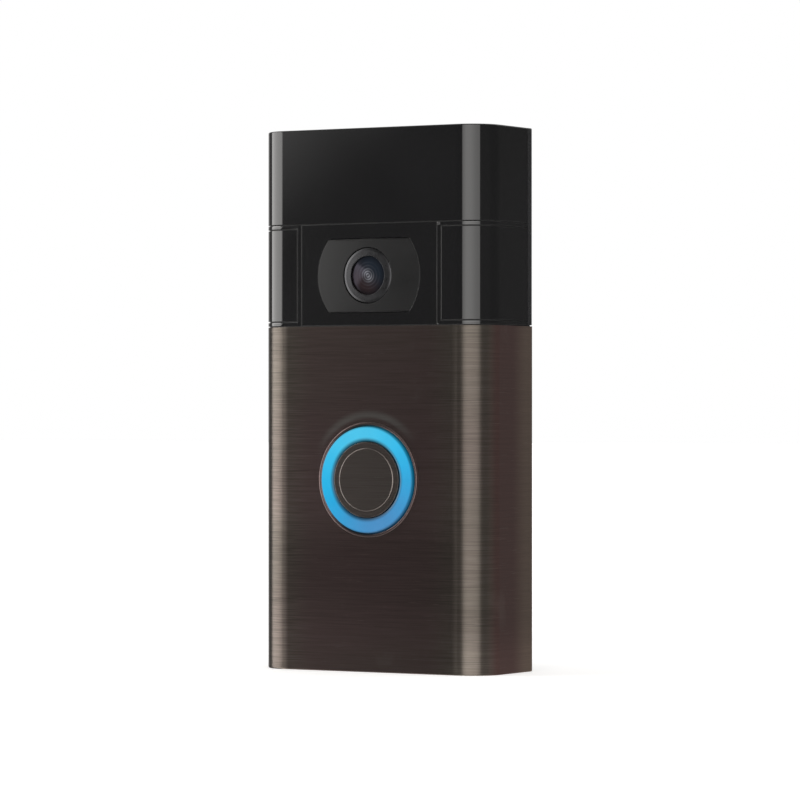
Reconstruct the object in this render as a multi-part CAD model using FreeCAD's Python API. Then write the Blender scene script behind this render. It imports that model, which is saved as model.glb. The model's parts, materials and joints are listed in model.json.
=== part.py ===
"""Battery video doorbell on its wall bracket.

Frame: millimetres, +Z up, +X to the right as seen from the front, front face towards -Y, wall towards +Y.
Origin: centre of the bounding box in X and Y, at the bottom of the case, so the doorbell stands on Z = 0.
The shapes are laid out with the case's front plane at Y = -14; node() then moves them all by SHIFT_Y, because the
button stands proud of the case and the box has to be centred.
"""
import FreeCAD, Part
import math
import os

V = FreeCAD.Vector

# ---------------------------------------------------------------- driving dimensions
W = 62.0            # case width
H = 126.5           # case height
D = 28.6            # overall depth, from the face of the button to the wall
PROUD = 1.2         # height of the button's face over the case's front plane
YF = -14.0          # front plane of the case, in the layout
YW = YF - PROUD + D  # wall plane, in the layout
SHIFT_Y = -(YF - PROUD + YW) / 2
CASE_D = 22.4       # depth of the case alone
YB = YF + CASE_D    # back face of the case
R = 7.4             # radius of the two vertical front corners
HW = W / 2

Z_SEAM = 80.5       # seam between the metal faceplate and the black upper half
Z_BAND = 104.3      # seam between camera band and top cover
Z_CAM = 92.15       # lens axis height
Z_BTN = 44.7        # button axis height
GAP = 0.12          # half-width of a parting line
WALL_FP = 1.6       # faceplate wall
WALL_TC = 1.8       # top cover wall
Y_RIM = 6.3         # front edge of the housing's rear rim beside the black covers

TRIM_X = 19.6       # inner edge of the wrap-round side panels
WIN_X = 18.4        # half width of the camera window
BORDER = 1.1        # width of the bezel border round the side panels

EDGE = 0.3          # rounding of the case's top and bottom edges
BTN_R = 8.8         # button cap radius
DISC_R = 7.3        # raised disc of the button cap
RING_RI = 8.95      # light ring inner radius
RING_RO = 12.35     # light ring outer radius
RING_Y = YF - 1.05  # face of the light ring
HOLE_R = 12.6       # hole in the faceplate
COLLAR_R = 13.35    # low collar that stands round the button
COLLAR_H = 0.45
COLLAR_FO = 0.22    # rounding of its outer and inner edges
COLLAR_FI = 0.36
BTN_TRAVEL = 0.6
SETUP_TRAVEL = 0.5
LIFT = 5.5          # upward travel that frees the case from the bracket's hooks

DOME_R = 13.8       # radius of the camera surround, clipped to a band
DOME_H = 8.6        # half height of the band
DOME_UP = 0.46      # height of the surround beside the lens ring over the window's plane
LENS_RO = 6.45      # lens ring outer radius
LENS_RI = 4.5       # lens ring inner radius
GROOVE = 0.4        # depth of the shadow groove at each parting line
PANEL_GAP = 0.3     # width of the groove between panel and bezel

HOLE_X = 21.0       # wall screw hole pattern, half spacings
HOLE_Z0 = 29.0
HOLE_Z1 = 115.0
HOLE_RW = 2.25      # wall screw hole radius

os.makedirs("parts", exist_ok=True)


# ---------------------------------------------------------------- helpers
def box(x0, x1, y0, y1, z0, z1):
    return Part.makeBox(x1 - x0, y1 - y0, z1 - z0, V(x0, y0, z0))


def cyl_y(x, z, r, y0, y1):
    return Part.makeCylinder(r, y1 - y0, V(x, y0, z), V(0, 1, 0))


def cyl_z(x, y, r, z0, z1):
    return Part.makeCylinder(r, z1 - z0, V(x, y, z0), V(0, 0, 1))


def ring_y(x, z, ro, ri, y0, y1):
    return cyl_y(x, z, ro, y0, y1).cut(cyl_y(x, z, ri, y0 - 1, y1 + 1))


def fuse(*shapes):
    s = shapes[0]
    for t in shapes[1:]:
        s = s.fuse(t)
    return s.removeSplitter()


def compound(shapes):
    return Part.makeCompound(shapes)


def case_prism(inset, y_back, z0, z1):
    """The case outline drawn in by inset, square at the back, from z0 to z1."""
    x = HW - inset
    yf = YF + inset
    r = max(R - inset, 0.4)
    k = r * (1 - math.sqrt(0.5))
    pts = [V(-x, y_back, 0), V(-x, yf + r, 0), V(-x + k, yf + k, 0), V(-x + r, yf, 0),
           V(x - r, yf, 0), V(x - k, yf + k, 0), V(x, yf + r, 0), V(x, y_back, 0)]
    edges = [
        Part.LineSegment(pts[0], pts[1]).toShape(),
        Part.Arc(pts[1], pts[2], pts[3]).toShape(),
        Part.LineSegment(pts[3], pts[4]).toShape(),
        Part.Arc(pts[4], pts[5], pts[6]).toShape(),
        Part.LineSegment(pts[6], pts[7]).toShape(),
        Part.LineSegment(pts[7], pts[0]).toShape(),
    ]
    f = Part.Face(Part.Wire(edges))
    f.translate(V(0, 0, z0))
    return f.extrude(V(0, 0, z1 - z0))


def turned(x, z, pts):
    """Solid of revolution about the Y axis through (x, z). pts are (r, y), or ('arc', (r, y) mid, (r, y) end)."""
    edges = []
    start = pts[0]
    last = start
    for p in pts[1:]:
        if p[0] == 'arc':
            m, e = p[1], p[2]
            edges.append(Part.Arc(V(last[0], last[1], 0), V(m[0], m[1], 0), V(e[0], e[1], 0)).toShape())
            last = e
        else:
            edges.append(Part.LineSegment(V(last[0], last[1], 0), V(p[0], p[1], 0)).toShape())
            last = p
    if (last[0] - start[0]) ** 2 + (last[1] - start[1]) ** 2 > 1e-12:
        edges.append(Part.LineSegment(V(last[0], last[1], 0), V(start[0], start[1], 0)).toShape())
    face = Part.Face(Part.Wire(edges))
    s = face.revolve(V(0, 0, 0), V(0, 1, 0), 360)
    if s.ShapeType != 'Solid':
        s = Part.Solid(s) if s.ShapeType == 'Shell' else s
    if s.Volume < 0:
        s.reverse()
    s.translate(V(x, 0, z))
    return s


def sag_mid(r, y_edge, y_apex):
    """Middle point of the arc from (r, y_edge) to (0, y_apex) whose centre lies on the axis."""
    h = y_apex - y_edge
    R_ = (r * r + h * h) / (2 * abs(h))
    yc = y_apex + R_ if h < 0 else y_apex - R_
    a = math.asin(r / R_) / 2
    return (R_ * math.sin(a), yc - R_ * math.cos(a) if h < 0 else yc + R_ * math.cos(a))


def rounded_plate(x0, x1, z0, z1, y0, y1, r):
    """Plate in XZ with rounded corners, thickness along Y."""
    b = box(x0, x1, y0, y1, z0, z1)
    edges = [e for e in b.Edges if abs(e.Vertexes[0].Point.x - e.Vertexes[1].Point.x) < 1e-6
             and abs(e.Vertexes[0].Point.z - e.Vertexes[1].Point.z) < 1e-6]
    return b.makeFillet(r, edges)


def slot_z(x, r, y0, y1, z0, z1):
    """Cutter for a slot with round ends, long in Y, through Z."""
    return fuse(box(x - r, x + r, y0 + r, y1 - r, z0, z1), cyl_z(x, y0 + r, r, z0, z1), cyl_z(x, y1 - r, r, z0, z1))


def soft_box(x0, x1, y0, y1, z0, z1, r):
    b = box(x0, x1, y0, y1, z0, z1)
    return b.makeFillet(r, b.Edges)


def clipped_disc(r, half_h, y0, y1):
    """Disc about the lens axis with its top and bottom cut flat."""
    return cyl_y(0, Z_CAM, r, y0, y1).common(box(-r - 1, r + 1, y0 - 1, y1 + 1, Z_CAM - half_h, Z_CAM + half_h))


def wire_tube(points, radius, bend):
    """Tube along straight runs joined by tangent arcs of the given radius."""
    edges = []
    prev = points[0]
    for i in range(1, len(points) - 1):
        a, b, c = points[i - 1], points[i], points[i + 1]
        u = (b - a).normalize()
        v = (c - b).normalize()
        ang = math.acos(max(-1, min(1, u.dot(v))))
        t = bend * math.tan(ang / 2)
        p1 = b - u * t
        p2 = b + v * t
        bis = (v - u).normalize()
        mid = b + bis * (bend / math.cos(ang / 2) - bend)
        if (p1 - prev).Length > 1e-6:
            edges.append(Part.LineSegment(prev, p1).toShape())
        edges.append(Part.Arc(p1, mid, p2).toShape())
        prev = p2
    edges.append(Part.LineSegment(prev, points[-1]).toShape())
    path = Part.Wire(edges)
    u0 = (points[1] - points[0]).normalize()
    prof = Part.Wire([Part.Circle(points[0], u0, radius).toShape()])
    s = path.makePipeShell([prof], True, True)
    return s, path.Length


NODES = {}


def node(name, shape):
    shape = shape.copy()
    shape.translate(V(0, SHIFT_Y, 0))
    NODES[name] = shape
    shape.exportStep(os.path.join("parts", name + ".step"))


# ================================================================= bracket (stays on the wall)
BR_X = 27.0          # half width of the bracket
BR_Z0 = 4.9
BR_Z1 = 121.0
PLATE_Y = 11.5       # front face of the bracket plate
RIM_Y = 8.8          # front edge of the bracket's rim
BOSS_X = 9.5         # security screw positions
BOSS_Y = 10.9
WIN_BR_X = 15.0      # open middle of the bracket
WIN_BR_Z0 = 40.0
WIN_BR_Z1 = 100.5
HOOKS = [(22.6, 13.8), (19.5, 104.0)]   # |x|, z of the top of the stem

bracket = rounded_plate(-BR_X, BR_X, BR_Z0, BR_Z1, RIM_Y, YW, 5.0)
bracket = bracket.makeFillet(0.5, [e for e in bracket.Edges if all(abs(v.Point.y - YW) < 1e-6 for v in e.Vertexes)])
bracket = bracket.cut(rounded_plate(-BR_X + 1.6, BR_X - 1.6, BR_Z0 + 1.6, BR_Z1 - 1.6, RIM_Y - 1, PLATE_Y, 3.4))
bracket = bracket.cut(rounded_plate(-WIN_BR_X, WIN_BR_X, WIN_BR_Z0, WIN_BR_Z1, PLATE_Y - 1, YW + 1, 4.0))
# stiffening lip round the opening
lip = rounded_plate(-WIN_BR_X - 1.4, WIN_BR_X + 1.4, WIN_BR_Z0 - 1.4, WIN_BR_Z1 + 1.4, PLATE_Y - 0.8, PLATE_Y + 0.2, 5.4)
lip = lip.cut(rounded_plate(-WIN_BR_X, WIN_BR_X, WIN_BR_Z0, WIN_BR_Z1, PLATE_Y - 3, PLATE_Y + 3, 4.0))
bracket = bracket.fuse(lip)
# bottom flange that carries the security screws, with gussets up to the plate
flange = box(-15.0, 15.0, RIM_Y, YW, 2.4, BR_Z0 + 0.1)
flange = flange.makeFillet(1.2, [e for e in flange.Edges if all(abs(v.Point.z - 2.4) < 1e-6 for v in e.Vertexes)
                                 and abs(e.Vertexes[0].Point.x - e.Vertexes[1].Point.x) < 1e-6])
bracket = bracket.fuse(flange)
for sx in (-1, 1):
    bracket = bracket.fuse(box(min(sx * 14.0, sx * 15.0), max(sx * 14.0, sx * 15.0), RIM_Y, PLATE_Y + 0.5, BR_Z0, 12.0))
# windows for the case's screw bosses, open from the flange upwards through the lift travel
for sx in (-1, 1):
    bracket = bracket.cut(box(sx * BOSS_X - 3.3, sx * BOSS_X + 3.3, RIM_Y - 1, YW + 1, BR_Z0, 21.5))
    bracket = bracket.cut(cyl_z(sx * BOSS_X, BOSS_Y, 1.45, 0, 6))
# hooks: a stem through the case's back wall and a tip that points up
for hx, hz in HOOKS:
    for sx in (-1, 1):
        x0, x1 = sx * hx - 3.0, sx * hx + 3.0
        bracket = bracket.fuse(box(x0, x1, 4.95, PLATE_Y + 0.2, hz - 3.0, hz))
        tip = box(x0, x1, 4.95, 6.15, hz - 0.1, hz + 4.5)
        bracket = bracket.fuse(tip)
# wall screw holes with countersinks on the case side
for hz in (HOLE_Z0, HOLE_Z1):
    for sx in (-1, 1):
        bracket = bracket.cut(cyl_y(sx * HOLE_X, hz, HOLE_RW, PLATE_Y - 2, YW + 1))
        cone = Part.makeCone(3.6, HOLE_RW, 1.0, V(sx * HOLE_X, PLATE_Y, hz), V(0, 1, 0))
        bracket = bracket.cut(cone)
# ribs on the plate
for z in (33.5, 105.0):
    bracket = bracket.fuse(box(-13.0, 13.0, PLATE_Y - 1.2, PLATE_Y + 0.1, z, z + 1.2))
bracket = bracket.removeSplitter()
node("wall_bracket", bracket)

screws = []
for sx in (-1, 1):
    head = cyl_z(sx * BOSS_X, BOSS_Y, 2.3, 0.6, 2.4)
    socket = None
    for k in range(3):
        b = Part.makeBox(2.0, 0.75, 1.0, V(-1.0, -0.375, 0))
        b.rotate(V(0, 0, 0), V(0, 0, 1), 60 * k)
        socket = b if socket is None else socket.fuse(b)
    socket.translate(V(sx * BOSS_X, BOSS_Y, 0.3))
    shank = cyl_z(sx * BOSS_X, BOSS_Y, 1.25, 2.3, 11.5)
    screws.append(head.fuse(shank).cut(socket).removeSplitter())
node("security_screws", compound(screws))

# ================================================================= case: rear housing
HX = 27.8            # half width of the housing's side walls
HWALL = 1.5
HZ0 = 1.8
HZ1 = 123.2
YH = -4.9            # front edge of the housing's walls
Y_BACK_IN = 6.4      # inner face of the back wall

housing = box(-HX, HX, YH, YB, HZ0, HZ1)
housing = housing.cut(box(-HX + HWALL, HX - HWALL, YH - 1, Y_BACK_IN, HZ0 + HWALL, HZ1 - HWALL))
# back flange: fills the case outline behind the black covers, and the outline inside the faceplate below
rim = case_prism(0, YB, Z_SEAM + GAP, H).cut(box(-40, 40, YF - 1, Y_RIM, -1, H + 1))
rim = rim.makeFillet(EDGE, [e for e in rim.Edges if
                            all(abs(v.Point.z - H) < 1e-6 and abs(abs(v.Point.x) - HW) < 1e-6 for v in e.Vertexes)
                            or all(abs(v.Point.z - H) < 1e-6 and abs(v.Point.y - YB) < 1e-6 for v in e.Vertexes)
                            or all(abs(abs(v.Point.x) - HW) < 1e-6 and abs(v.Point.y - YB) < 1e-6 for v in e.Vertexes)])
housing = housing.fuse(rim)
housing = housing.fuse(box(-HW + WALL_FP + 0.15, HW - WALL_FP - 0.15, Y_BACK_IN, YB, WALL_FP + 0.15, Z_SEAM + GAP + 0.2))
# land behind the seam between the rim and the faceplate's top edge
housing = housing.fuse(case_prism(0.4, YB - 0.4, Z_SEAM - GAP, Z_SEAM + GAP + 0.2).cut(box(-40, 40, YF - 1, Y_RIM, -1, H + 1)))
# pockets for the bracket's hooks
for hx, hz in HOOKS:
    for sx in (-1, 1):
        xc = sx * hx
        inner = box(xc - 3.6, xc + 3.6, 4.6, Y_BACK_IN + 0.01, hz - 3.0 - LIFT - 0.4, hz + 5.2)
        shell = box(xc - 4.7, xc + 4.7, 3.5, Y_BACK_IN + 0.1, hz - 3.0 - LIFT - 1.5, hz + 6.3)
        shell = shell.common(box(-HX + 0.2, HX - 0.2, -20, 20, HZ0 + 0.2, HZ1))
        housing = housing.fuse(shell)
        housing = housing.cut(inner)
        housing = housing.cut(box(xc - 3.6, xc + 3.6, Y_BACK_IN - 0.5, YB + 1, hz - 3.0 - LIFT - 0.4, hz + 0.25))
# bosses for the security screws, behind the back face
for sx in (-1, 1):
    b = box(sx * BOSS_X - 2.7, sx * BOSS_X + 2.7, YB - 0.5, 13.1, 5.2, 14.5)
    es = [e for e in b.Edges if abs(e.Vertexes[0].Point.x - e.Vertexes[1].Point.x) < 1e-6
          and abs(e.Vertexes[0].Point.y - e.Vertexes[1].Point.y) < 1e-6 and e.Vertexes[0].Point.y > 12]
    b = b.makeFillet(1.6, es)
    b = b.cut(cyl_z(sx * BOSS_X, BOSS_Y, 1.4, 4, 12.5))
    housing = housing.fuse(b)
# posts for the frame screws
POSTS = [(-14.6, 14.3), (14.6, 14.3), (-22.5, 80.6), (22.5, 80.6), (-23.0, 118.0), (23.0, 118.0)]
for px, pz in POSTS:
    housing = housing.fuse(cyl_y(px, pz, 2.3, YH, Y_BACK_IN + 0.1))
    housing = housing.cut(cyl_y(px, pz, 1.1, YH - 1, 3.0))
# groove for the seal along the front edge of the walls
groove = box(-HX + 0.35, HX - 0.35, YH - 1, YH + 0.5, HZ0 + 0.35, HZ1 - 0.35).cut(
    box(-HX + 1.15, HX - 1.15, YH - 2, YH + 2, HZ0 + 1.15, HZ1 - 1.15))
housing = housing.cut(groove)
# openings in the back wall: terminals, charging port, setup button
TERM = [(-6.5, 94.0), (6.5, 94.0)]
USB_X, USB_Z = -5.5, 85.2
SET_X, SET_Z = 6.5, 85.2
for tx, tz in TERM:
    housing = housing.cut(cyl_y(tx, tz, 2.9, Y_BACK_IN - 1, YB + 1))
housing = housing.cut(rounded_plate(USB_X - 4.1, USB_X + 4.1, USB_Z - 1.7, USB_Z + 1.7, Y_BACK_IN - 1, YB + 1, 0.8))
housing = housing.cut(cyl_y(SET_X, SET_Z, 2.95, Y_BACK_IN - 1, YB + 1))
# posts for the board behind the terminals
for px, pz in ((-10.9, 97.3), (10.9, 97.3), (-11.0, 88.8), (11.0, 88.8)):
    housing = housing.fuse(cyl_y(px, pz, 1.2, 3.0, Y_BACK_IN + 0.1))
# sound slots in the bottom wall
SLOTS = [-8.0, -4.8, -1.6, 1.6, 4.8, 8.0]
for x in SLOTS:
    housing = housing.cut(slot_z(x, 0.65, -4.0, 4.6, 0, HZ0 + HWALL + 0.5))
# catches' slots for the faceplate
for z in (14.0, 52.0):
    for sx in (-1, 1):
        x0, x1 = sorted((sx * (HX - 0.5), sx * (HX + 0.5)))
        housing = housing.cut(box(x0, x1, 0.8, 3.2, z - 4.2, z + 4.2))
housing = housing.removeSplitter()
node("rear_housing", housing)

seal = box(-HX + 0.4, HX - 0.4, -5.0, YH + 0.5, HZ0 + 0.4, HZ1 - 0.4).cut(
    box(-HX + 1.1, HX - 1.1, -6, 0, HZ0 + 1.1, HZ1 - 1.1))
node("housing_seal", seal)

# ================================================================= mid frame and its screws
frame = box(-27.6, 27.6, -6.2, -5.0, 2.0, 123.0)
es = [e for e in frame.Edges if abs(e.Vertexes[0].Point.x - e.Vertexes[1].Point.x) < 1e-6
      and abs(e.Vertexes[0].Point.z - e.Vertexes[1].Point.z) < 1e-6]
frame = frame.makeFillet(2.0, es)
frame = frame.cut(rounded_plate(-15.0, 15.0, 84.0, 100.5, -8, -3, 1.5))
frame = frame.cut(box(-12.5, -2.5, -8, -3, 78.6, 82.2))      # for the camera flex
frame = frame.cut(box(6.5, 14.5, -8, -3, 78.6, 82.2))        # for the battery lead
BOARD_SCREWS = [(-22.8, 21.5), (22.8, 21.5), (-22.8, 74.5), (22.8, 74.5)]
for bx, bz in BOARD_SCREWS:
    frame = frame.fuse(cyl_y(bx, bz, 2.3, -7.2, -6.0))
    frame = frame.cut(cyl_y(bx, bz, 1.0, -8, -3))
PIR_POSTS = [(-17.5, 108.0), (17.5, 108.0), (-17.5, 119.0), (17.5, 119.0)]
for bx, bz in PIR_POSTS:
    frame = frame.fuse(cyl_y(bx, bz, 1.6, -7.2, -6.0))
IR_POSTS = [(-15.3, 86.0), (15.3, 86.0), (-15.3, 98.6), (15.3, 98.6)]
for bx, bz in IR_POSTS:
    frame = frame.fuse(box(bx - 1.2, bx + 1.2, -8.4, -6.0, bz - 1.2, bz + 1.2))
frame = frame.cut(rounded_plate(-14.9, 14.9, 84.0, 100.5, -6.25, -3, 1.5))
CAM_POSTS = [(-15.6, 84.6), (15.6, 84.6), (-15.6, 100.4), (15.6, 100.4)]
for bx, bz in CAM_POSTS:
    frame = frame.fuse(cyl_y(bx, bz, 1.7, -5.1, -3.4))
    frame = frame.cut(cyl_y(bx, bz, 0.95, -5.6, -3.0))
for px, pz in POSTS:
    frame = frame.cut(cyl_y(px, pz, 1.15, -8, -3))
frame = frame.removeSplitter()
node("mid_frame", frame)

fs = []
for px, pz in POSTS:
    h = cyl_y(px, pz, 2.0, -7.4, -6.2)
    s = cyl_y(px, pz, 1.0, -6.25, 0.5)
    slot1 = box(px - 1.2, px + 1.2, -7.6, -6.8, pz - 0.22, pz + 0.22)
    slot2 = box(px - 0.22, px + 0.22, -7.6, -6.8, pz - 1.2, pz + 1.2)
    fs.append(h.fuse(s).cut(slot1).cut(slot2).removeSplitter())
node("frame_screws", compound(fs))

# ================================================================= faceplate
fp = case_prism(0, YB, 0, Z_SEAM - GAP)
be = [e for e in fp.Edges if all(abs(v.Point.z) < 1e-6 for v in e.Vertexes)
      and not all(abs(v.Point.y - YB) < 1e-6 for v in e.Vertexes)]
fp = fp.makeFillet(EDGE, be)
fp = fp.cut(case_prism(WALL_FP, YB + 1, WALL_FP, Z_SEAM + 1))
# low collar round the button, and the hole through it
_k = 1 - math.sqrt(0.5)
fp = fp.fuse(turned(0, Z_BTN, [(0, YF - COLLAR_H), (COLLAR_R - COLLAR_FO, YF - COLLAR_H),
                               ('arc', (COLLAR_R - COLLAR_FO * _k, YF - COLLAR_H + COLLAR_FO * _k), (COLLAR_R, YF - COLLAR_H + COLLAR_FO)),
                               (COLLAR_R, YF + 0.8), (0, YF + 0.8)]))
fp = fp.cut(turned(0, Z_BTN, [(0, YF - 2), (HOLE_R + COLLAR_FI, YF - 2), (HOLE_R + COLLAR_FI, YF - COLLAR_H),
                              ('arc', (HOLE_R + COLLAR_FI * _k, YF - COLLAR_H + COLLAR_FI * _k), (HOLE_R, YF - COLLAR_H + COLLAR_FI)),
                              (HOLE_R, YF + 3), (0, YF + 3)]))
for x in SLOTS:
    fp = fp.cut(slot_z(x, 0.65, -4.0, 4.6, -1, WALL_FP + 0.5))
fp = fp.cut(cyl_z(16.5, -8.6, 0.7, -1, 3))
# inner catches
for z in (14.0, 52.0):
    for sx in (-1, 1):
        x0, x1 = sorted((sx * (HX - 0.35), sx * (HW - WALL_FP + 0.1)))
        fp = fp.fuse(box(x0, x1, 1.2, 2.8, z - 3.8, z + 3.8))
fp = fp.removeSplitter()
node("faceplate", fp)

# ================================================================= top cover
tc = case_prism(0, Y_RIM - 0.1, Z_BAND + GAP, H)
te = [e for e in tc.Edges if all(abs(v.Point.z - H) < 1e-6 for v in e.Vertexes)
      and not all(abs(v.Point.y - (Y_RIM - 0.1)) < 1e-6 for v in e.Vertexes)]
tc = tc.makeFillet(EDGE, te)
tc = tc.cut(case_prism(WALL_TC, Y_RIM + 1, Z_BAND - 1, H - WALL_TC))
# locating ribs that sit over the housing's top wall
for x in (-18.0, 0.0, 18.0):
    tc = tc.fuse(box(x - 1.5, x + 1.5, -3.0, 3.0, HZ1 + 0.2, H - WALL_TC + 0.1))
tc = tc.removeSplitter()
node("top_cover", tc)

# ================================================================= camera band: bezel, side panels, window
zb0, zb1 = Z_SEAM + GAP, Z_BAND - GAP
yb = Y_RIM - 0.1
inner = case_prism(1.6, yb, zb0, zb1).cut(case_prism(2.9, yb + 1, zb0 - 1, zb1 + 1))
full = case_prism(0, yb, zb0, zb1).cut(case_prism(2.9, yb + 1, zb0 - 1, zb1 + 1))
lower = full.common(box(-40, 40, -40, 40, zb0 - 1, zb0 + BORDER - PANEL_GAP))
upper = full.common(box(-40, 40, -40, 40, zb1 - BORDER + PANEL_GAP, zb1 + 1))
ribs = full.common(box(-TRIM_X + GAP, TRIM_X - GAP, -40, YF + 2.9, zb0 - 1, zb1 + 1))
bezel = inner.fuse(lower).fuse(upper).fuse(ribs)
# the panels' grooves are only as deep as a rebate in the bezel
back_up = case_prism(GROOVE, yb, zb0, zb1).cut(case_prism(2.9, yb + 1, zb0 - 1, zb1 + 1))
bezel = bezel.fuse(back_up.common(box(-40, 40, -40, 40, zb0, zb0 + BORDER)))
bezel = bezel.fuse(back_up.common(box(-40, 40, -40, 40, zb1 - BORDER, zb1)))
bezel = bezel.cut(box(-WIN_X - GAP, WIN_X + GAP, -40, YF + 2.0, zb0 - 1, zb1 + 1))
# lands that close the two parting lines behind their shadow grooves
land = case_prism(GROOVE, yb, 0, H).cut(case_prism(2.9, yb + 1, -1, H + 1))
bezel = bezel.fuse(land.common(box(-40, 40, -40, 40, zb0 - 2 * GAP, zb0)))
bezel = bezel.fuse(land.common(box(-40, 40, -40, 40, zb1, zb1 + 2 * GAP)))
bezel = bezel.cut(clipped_disc(DOME_R + 0.5, DOME_H + 0.5, YF - 1, YF + 6))
bezel = bezel.removeSplitter()
node("camera_bezel", bezel)

pan = case_prism(0, yb, zb0 + BORDER, zb1 - BORDER).cut(case_prism(1.45, yb + 1, zb0, zb1))
pr = pan.common(box(TRIM_X, 40, -40, 40, 0, H))
pl = pan.common(box(-40, -TRIM_X, -40, 40, 0, H))
node("right_side_panel", pr)
node("left_side_panel", pl)

win = box(-WIN_X, WIN_X, YF, YF + 1.85, zb0, zb1)
win = win.cut(clipped_disc(DOME_R + 0.06, DOME_H + 0.06, YF - 1, YF + 4))
node("camera_window", win)

# surround of the lens: a shallow dome clipped to a band, its rim level with the window
HOLE_CAM = 6.55
DOME_SR = (DOME_R ** 2 - HOLE_CAM ** 2) / (2 * DOME_UP)
dome_c = YF + math.sqrt(DOME_SR ** 2 - DOME_R ** 2)
dome = clipped_disc(DOME_R, DOME_H, YF - 1.0, YF + 2.8)
dome = dome.common(Part.makeSphere(DOME_SR, V(0, dome_c, Z_CAM)))
dome = dome.cut(cyl_y(0, Z_CAM, HOLE_CAM, YF - 2, YF + 4))
node("camera_surround", dome)

# ================================================================= camera module
y0 = YF
yr = YF - DOME_UP                  # face of the lens ring
lr = turned(0, Z_CAM, [(4.65, yr - 0.08), (6.22, yr + 0.02), (LENS_RO, yr + 0.25), (LENS_RO, -10.2), (5.0, -10.2),
                       (5.0, y0 + 0.9), (LENS_RI, y0 + 0.9), (LENS_RI, yr + 0.07)])
node("lens_ring", lr)

ye, ya = y0 + 0.02, y0 - 0.28      # front surface: rim and apex
yb_e, yb_a = y0 + 2.1, y0 + 1.15   # back surface: rim and apex
gl = turned(0, Z_CAM, [(0, ya), ('arc', sag_mid(4.46, ye, ya), (4.46, ye)), (4.46, y0 + 0.9), (4.9, y0 + 0.9), (4.9, yb_e), (3.9, yb_e),
                       ('arc', sag_mid(3.9, yb_e, yb_a), (0, yb_a))])
node("front_lens", gl)

barrel = turned(0, Z_CAM, [(4.9, -11.9), (4.9, -4.6), (2.3, -4.6), (2.3, -8.6), (2.75, -8.6), (2.75, -10.1), (3.4, -10.1),
                           (3.4, -11.0), (4.2, -11.0), (4.2, -11.9)])
node("lens_barrel", barrel)
e2 = turned(0, Z_CAM, [(0, -10.6), ('arc', sag_mid(2.7, -9.6, -10.6), (2.7, -9.6)), (2.7, -8.6), (2.25, -8.6),
                       ('arc', sag_mid(2.25, -8.6, -8.25), (0, -8.25))])
node("inner_lens", e2)
holder = box(-7.5, 7.5, -10.2, -3.4, Z_CAM - 7.5, Z_CAM + 7.5)
he = [e for e in holder.Edges if abs(e.Vertexes[0].Point.x - e.Vertexes[1].Point.x) < 1e-6
      and abs(e.Vertexes[0].Point.z - e.Vertexes[1].Point.z) < 1e-6]
holder = holder.makeFillet(1.2, he)
holder = holder.cut(cyl_y(0, Z_CAM, 4.95, -11, -4.5))
holder = holder.cut(box(-4.9, 4.9, -4.6, -3, Z_CAM - 4.9, Z_CAM + 4.9))
node("lens_holder", holder)
node("ir_filter", box(-3.6, 3.6, -4.6, -4.3, Z_CAM - 3.6, Z_CAM + 3.6).common(cyl_y(0, Z_CAM, 4.4, -6, -3)))

cb = rounded_plate(-17.0, 17.0, 82.6, 102.4, -3.4, -2.4, 1.5)
for sx in (-1, 1):
    for z in (84.6, 100.4):
        cb = cb.cut(cyl_y(sx * 15.6, z, 1.0, -5, -1))
node("camera_board", cb)
sens = box(-4.0, 4.0, -4.1, -3.4, Z_CAM - 3.4, Z_CAM + 3.4)
node("image_sensor", sens)
cs = []
for sx in (-1, 1):
    for z in (84.6, 100.4):
        cs.append(cyl_y(sx * 15.6, z, 0.9, -4.95, -1.2).fuse(cyl_y(sx * 15.6, z, 1.7, -2.4, -1.2)).removeSplitter())
node("camera_screws", compound(cs))

irb = rounded_plate(-16.6, 16.6, 84.4, 99.9, -9.2, -8.4, 1.0).cut(box(-7.9, 7.9, -12, -5, Z_CAM - 7.9, Z_CAM + 9.9))
node("ir_led_board", irb)
leds = []
for sx in (-1, 1):
    for dz in (-4.4, 0.0, 4.4):
        b = box(sx * 12.2 - 1.5, sx * 12.2 + 1.5, -10.3, -9.2, Z_CAM + dz - 1.5, Z_CAM + dz + 1.5)
        leds.append(b.fuse(Part.makeSphere(1.2, V(sx * 12.2, -10.3, Z_CAM + dz)).common(
            box(-20, 20, -11.1, -10.2, 0, H))).removeSplitter())
node("ir_leds", compound(leds))

# ================================================================= motion sensor behind the top cover
pb = rounded_plate(-20.0, 20.0, 106.2, 121.0, -8.2, -7.2, 1.0)
node("pir_board", pb)
cans = []
for sx in (-1, 1):
    can = cyl_y(sx * 10.0, 113.6, 4.0, -10.9, -8.2)
    can = can.cut(box(sx * 10.0 - 2.0, sx * 10.0 + 2.0, -11.5, -10.7, 113.6 - 1.5, 113.6 + 1.5))
    cans.append(can)
node("pir_sensors", compound(cans))
pl_ = box(-21.0, 21.0, -12.2, -11.6, 106.4, 123.0)
for sx in (-1, 1):
    for k in range(3):
        pl_ = pl_.fuse(ring_y(sx * 10.0, 114.5, 2.4 + 2.4 * k, 1.9 + 2.4 * k, -11.65, -11.3))
node("pir_lens", pl_.removeSplitter())

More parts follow.
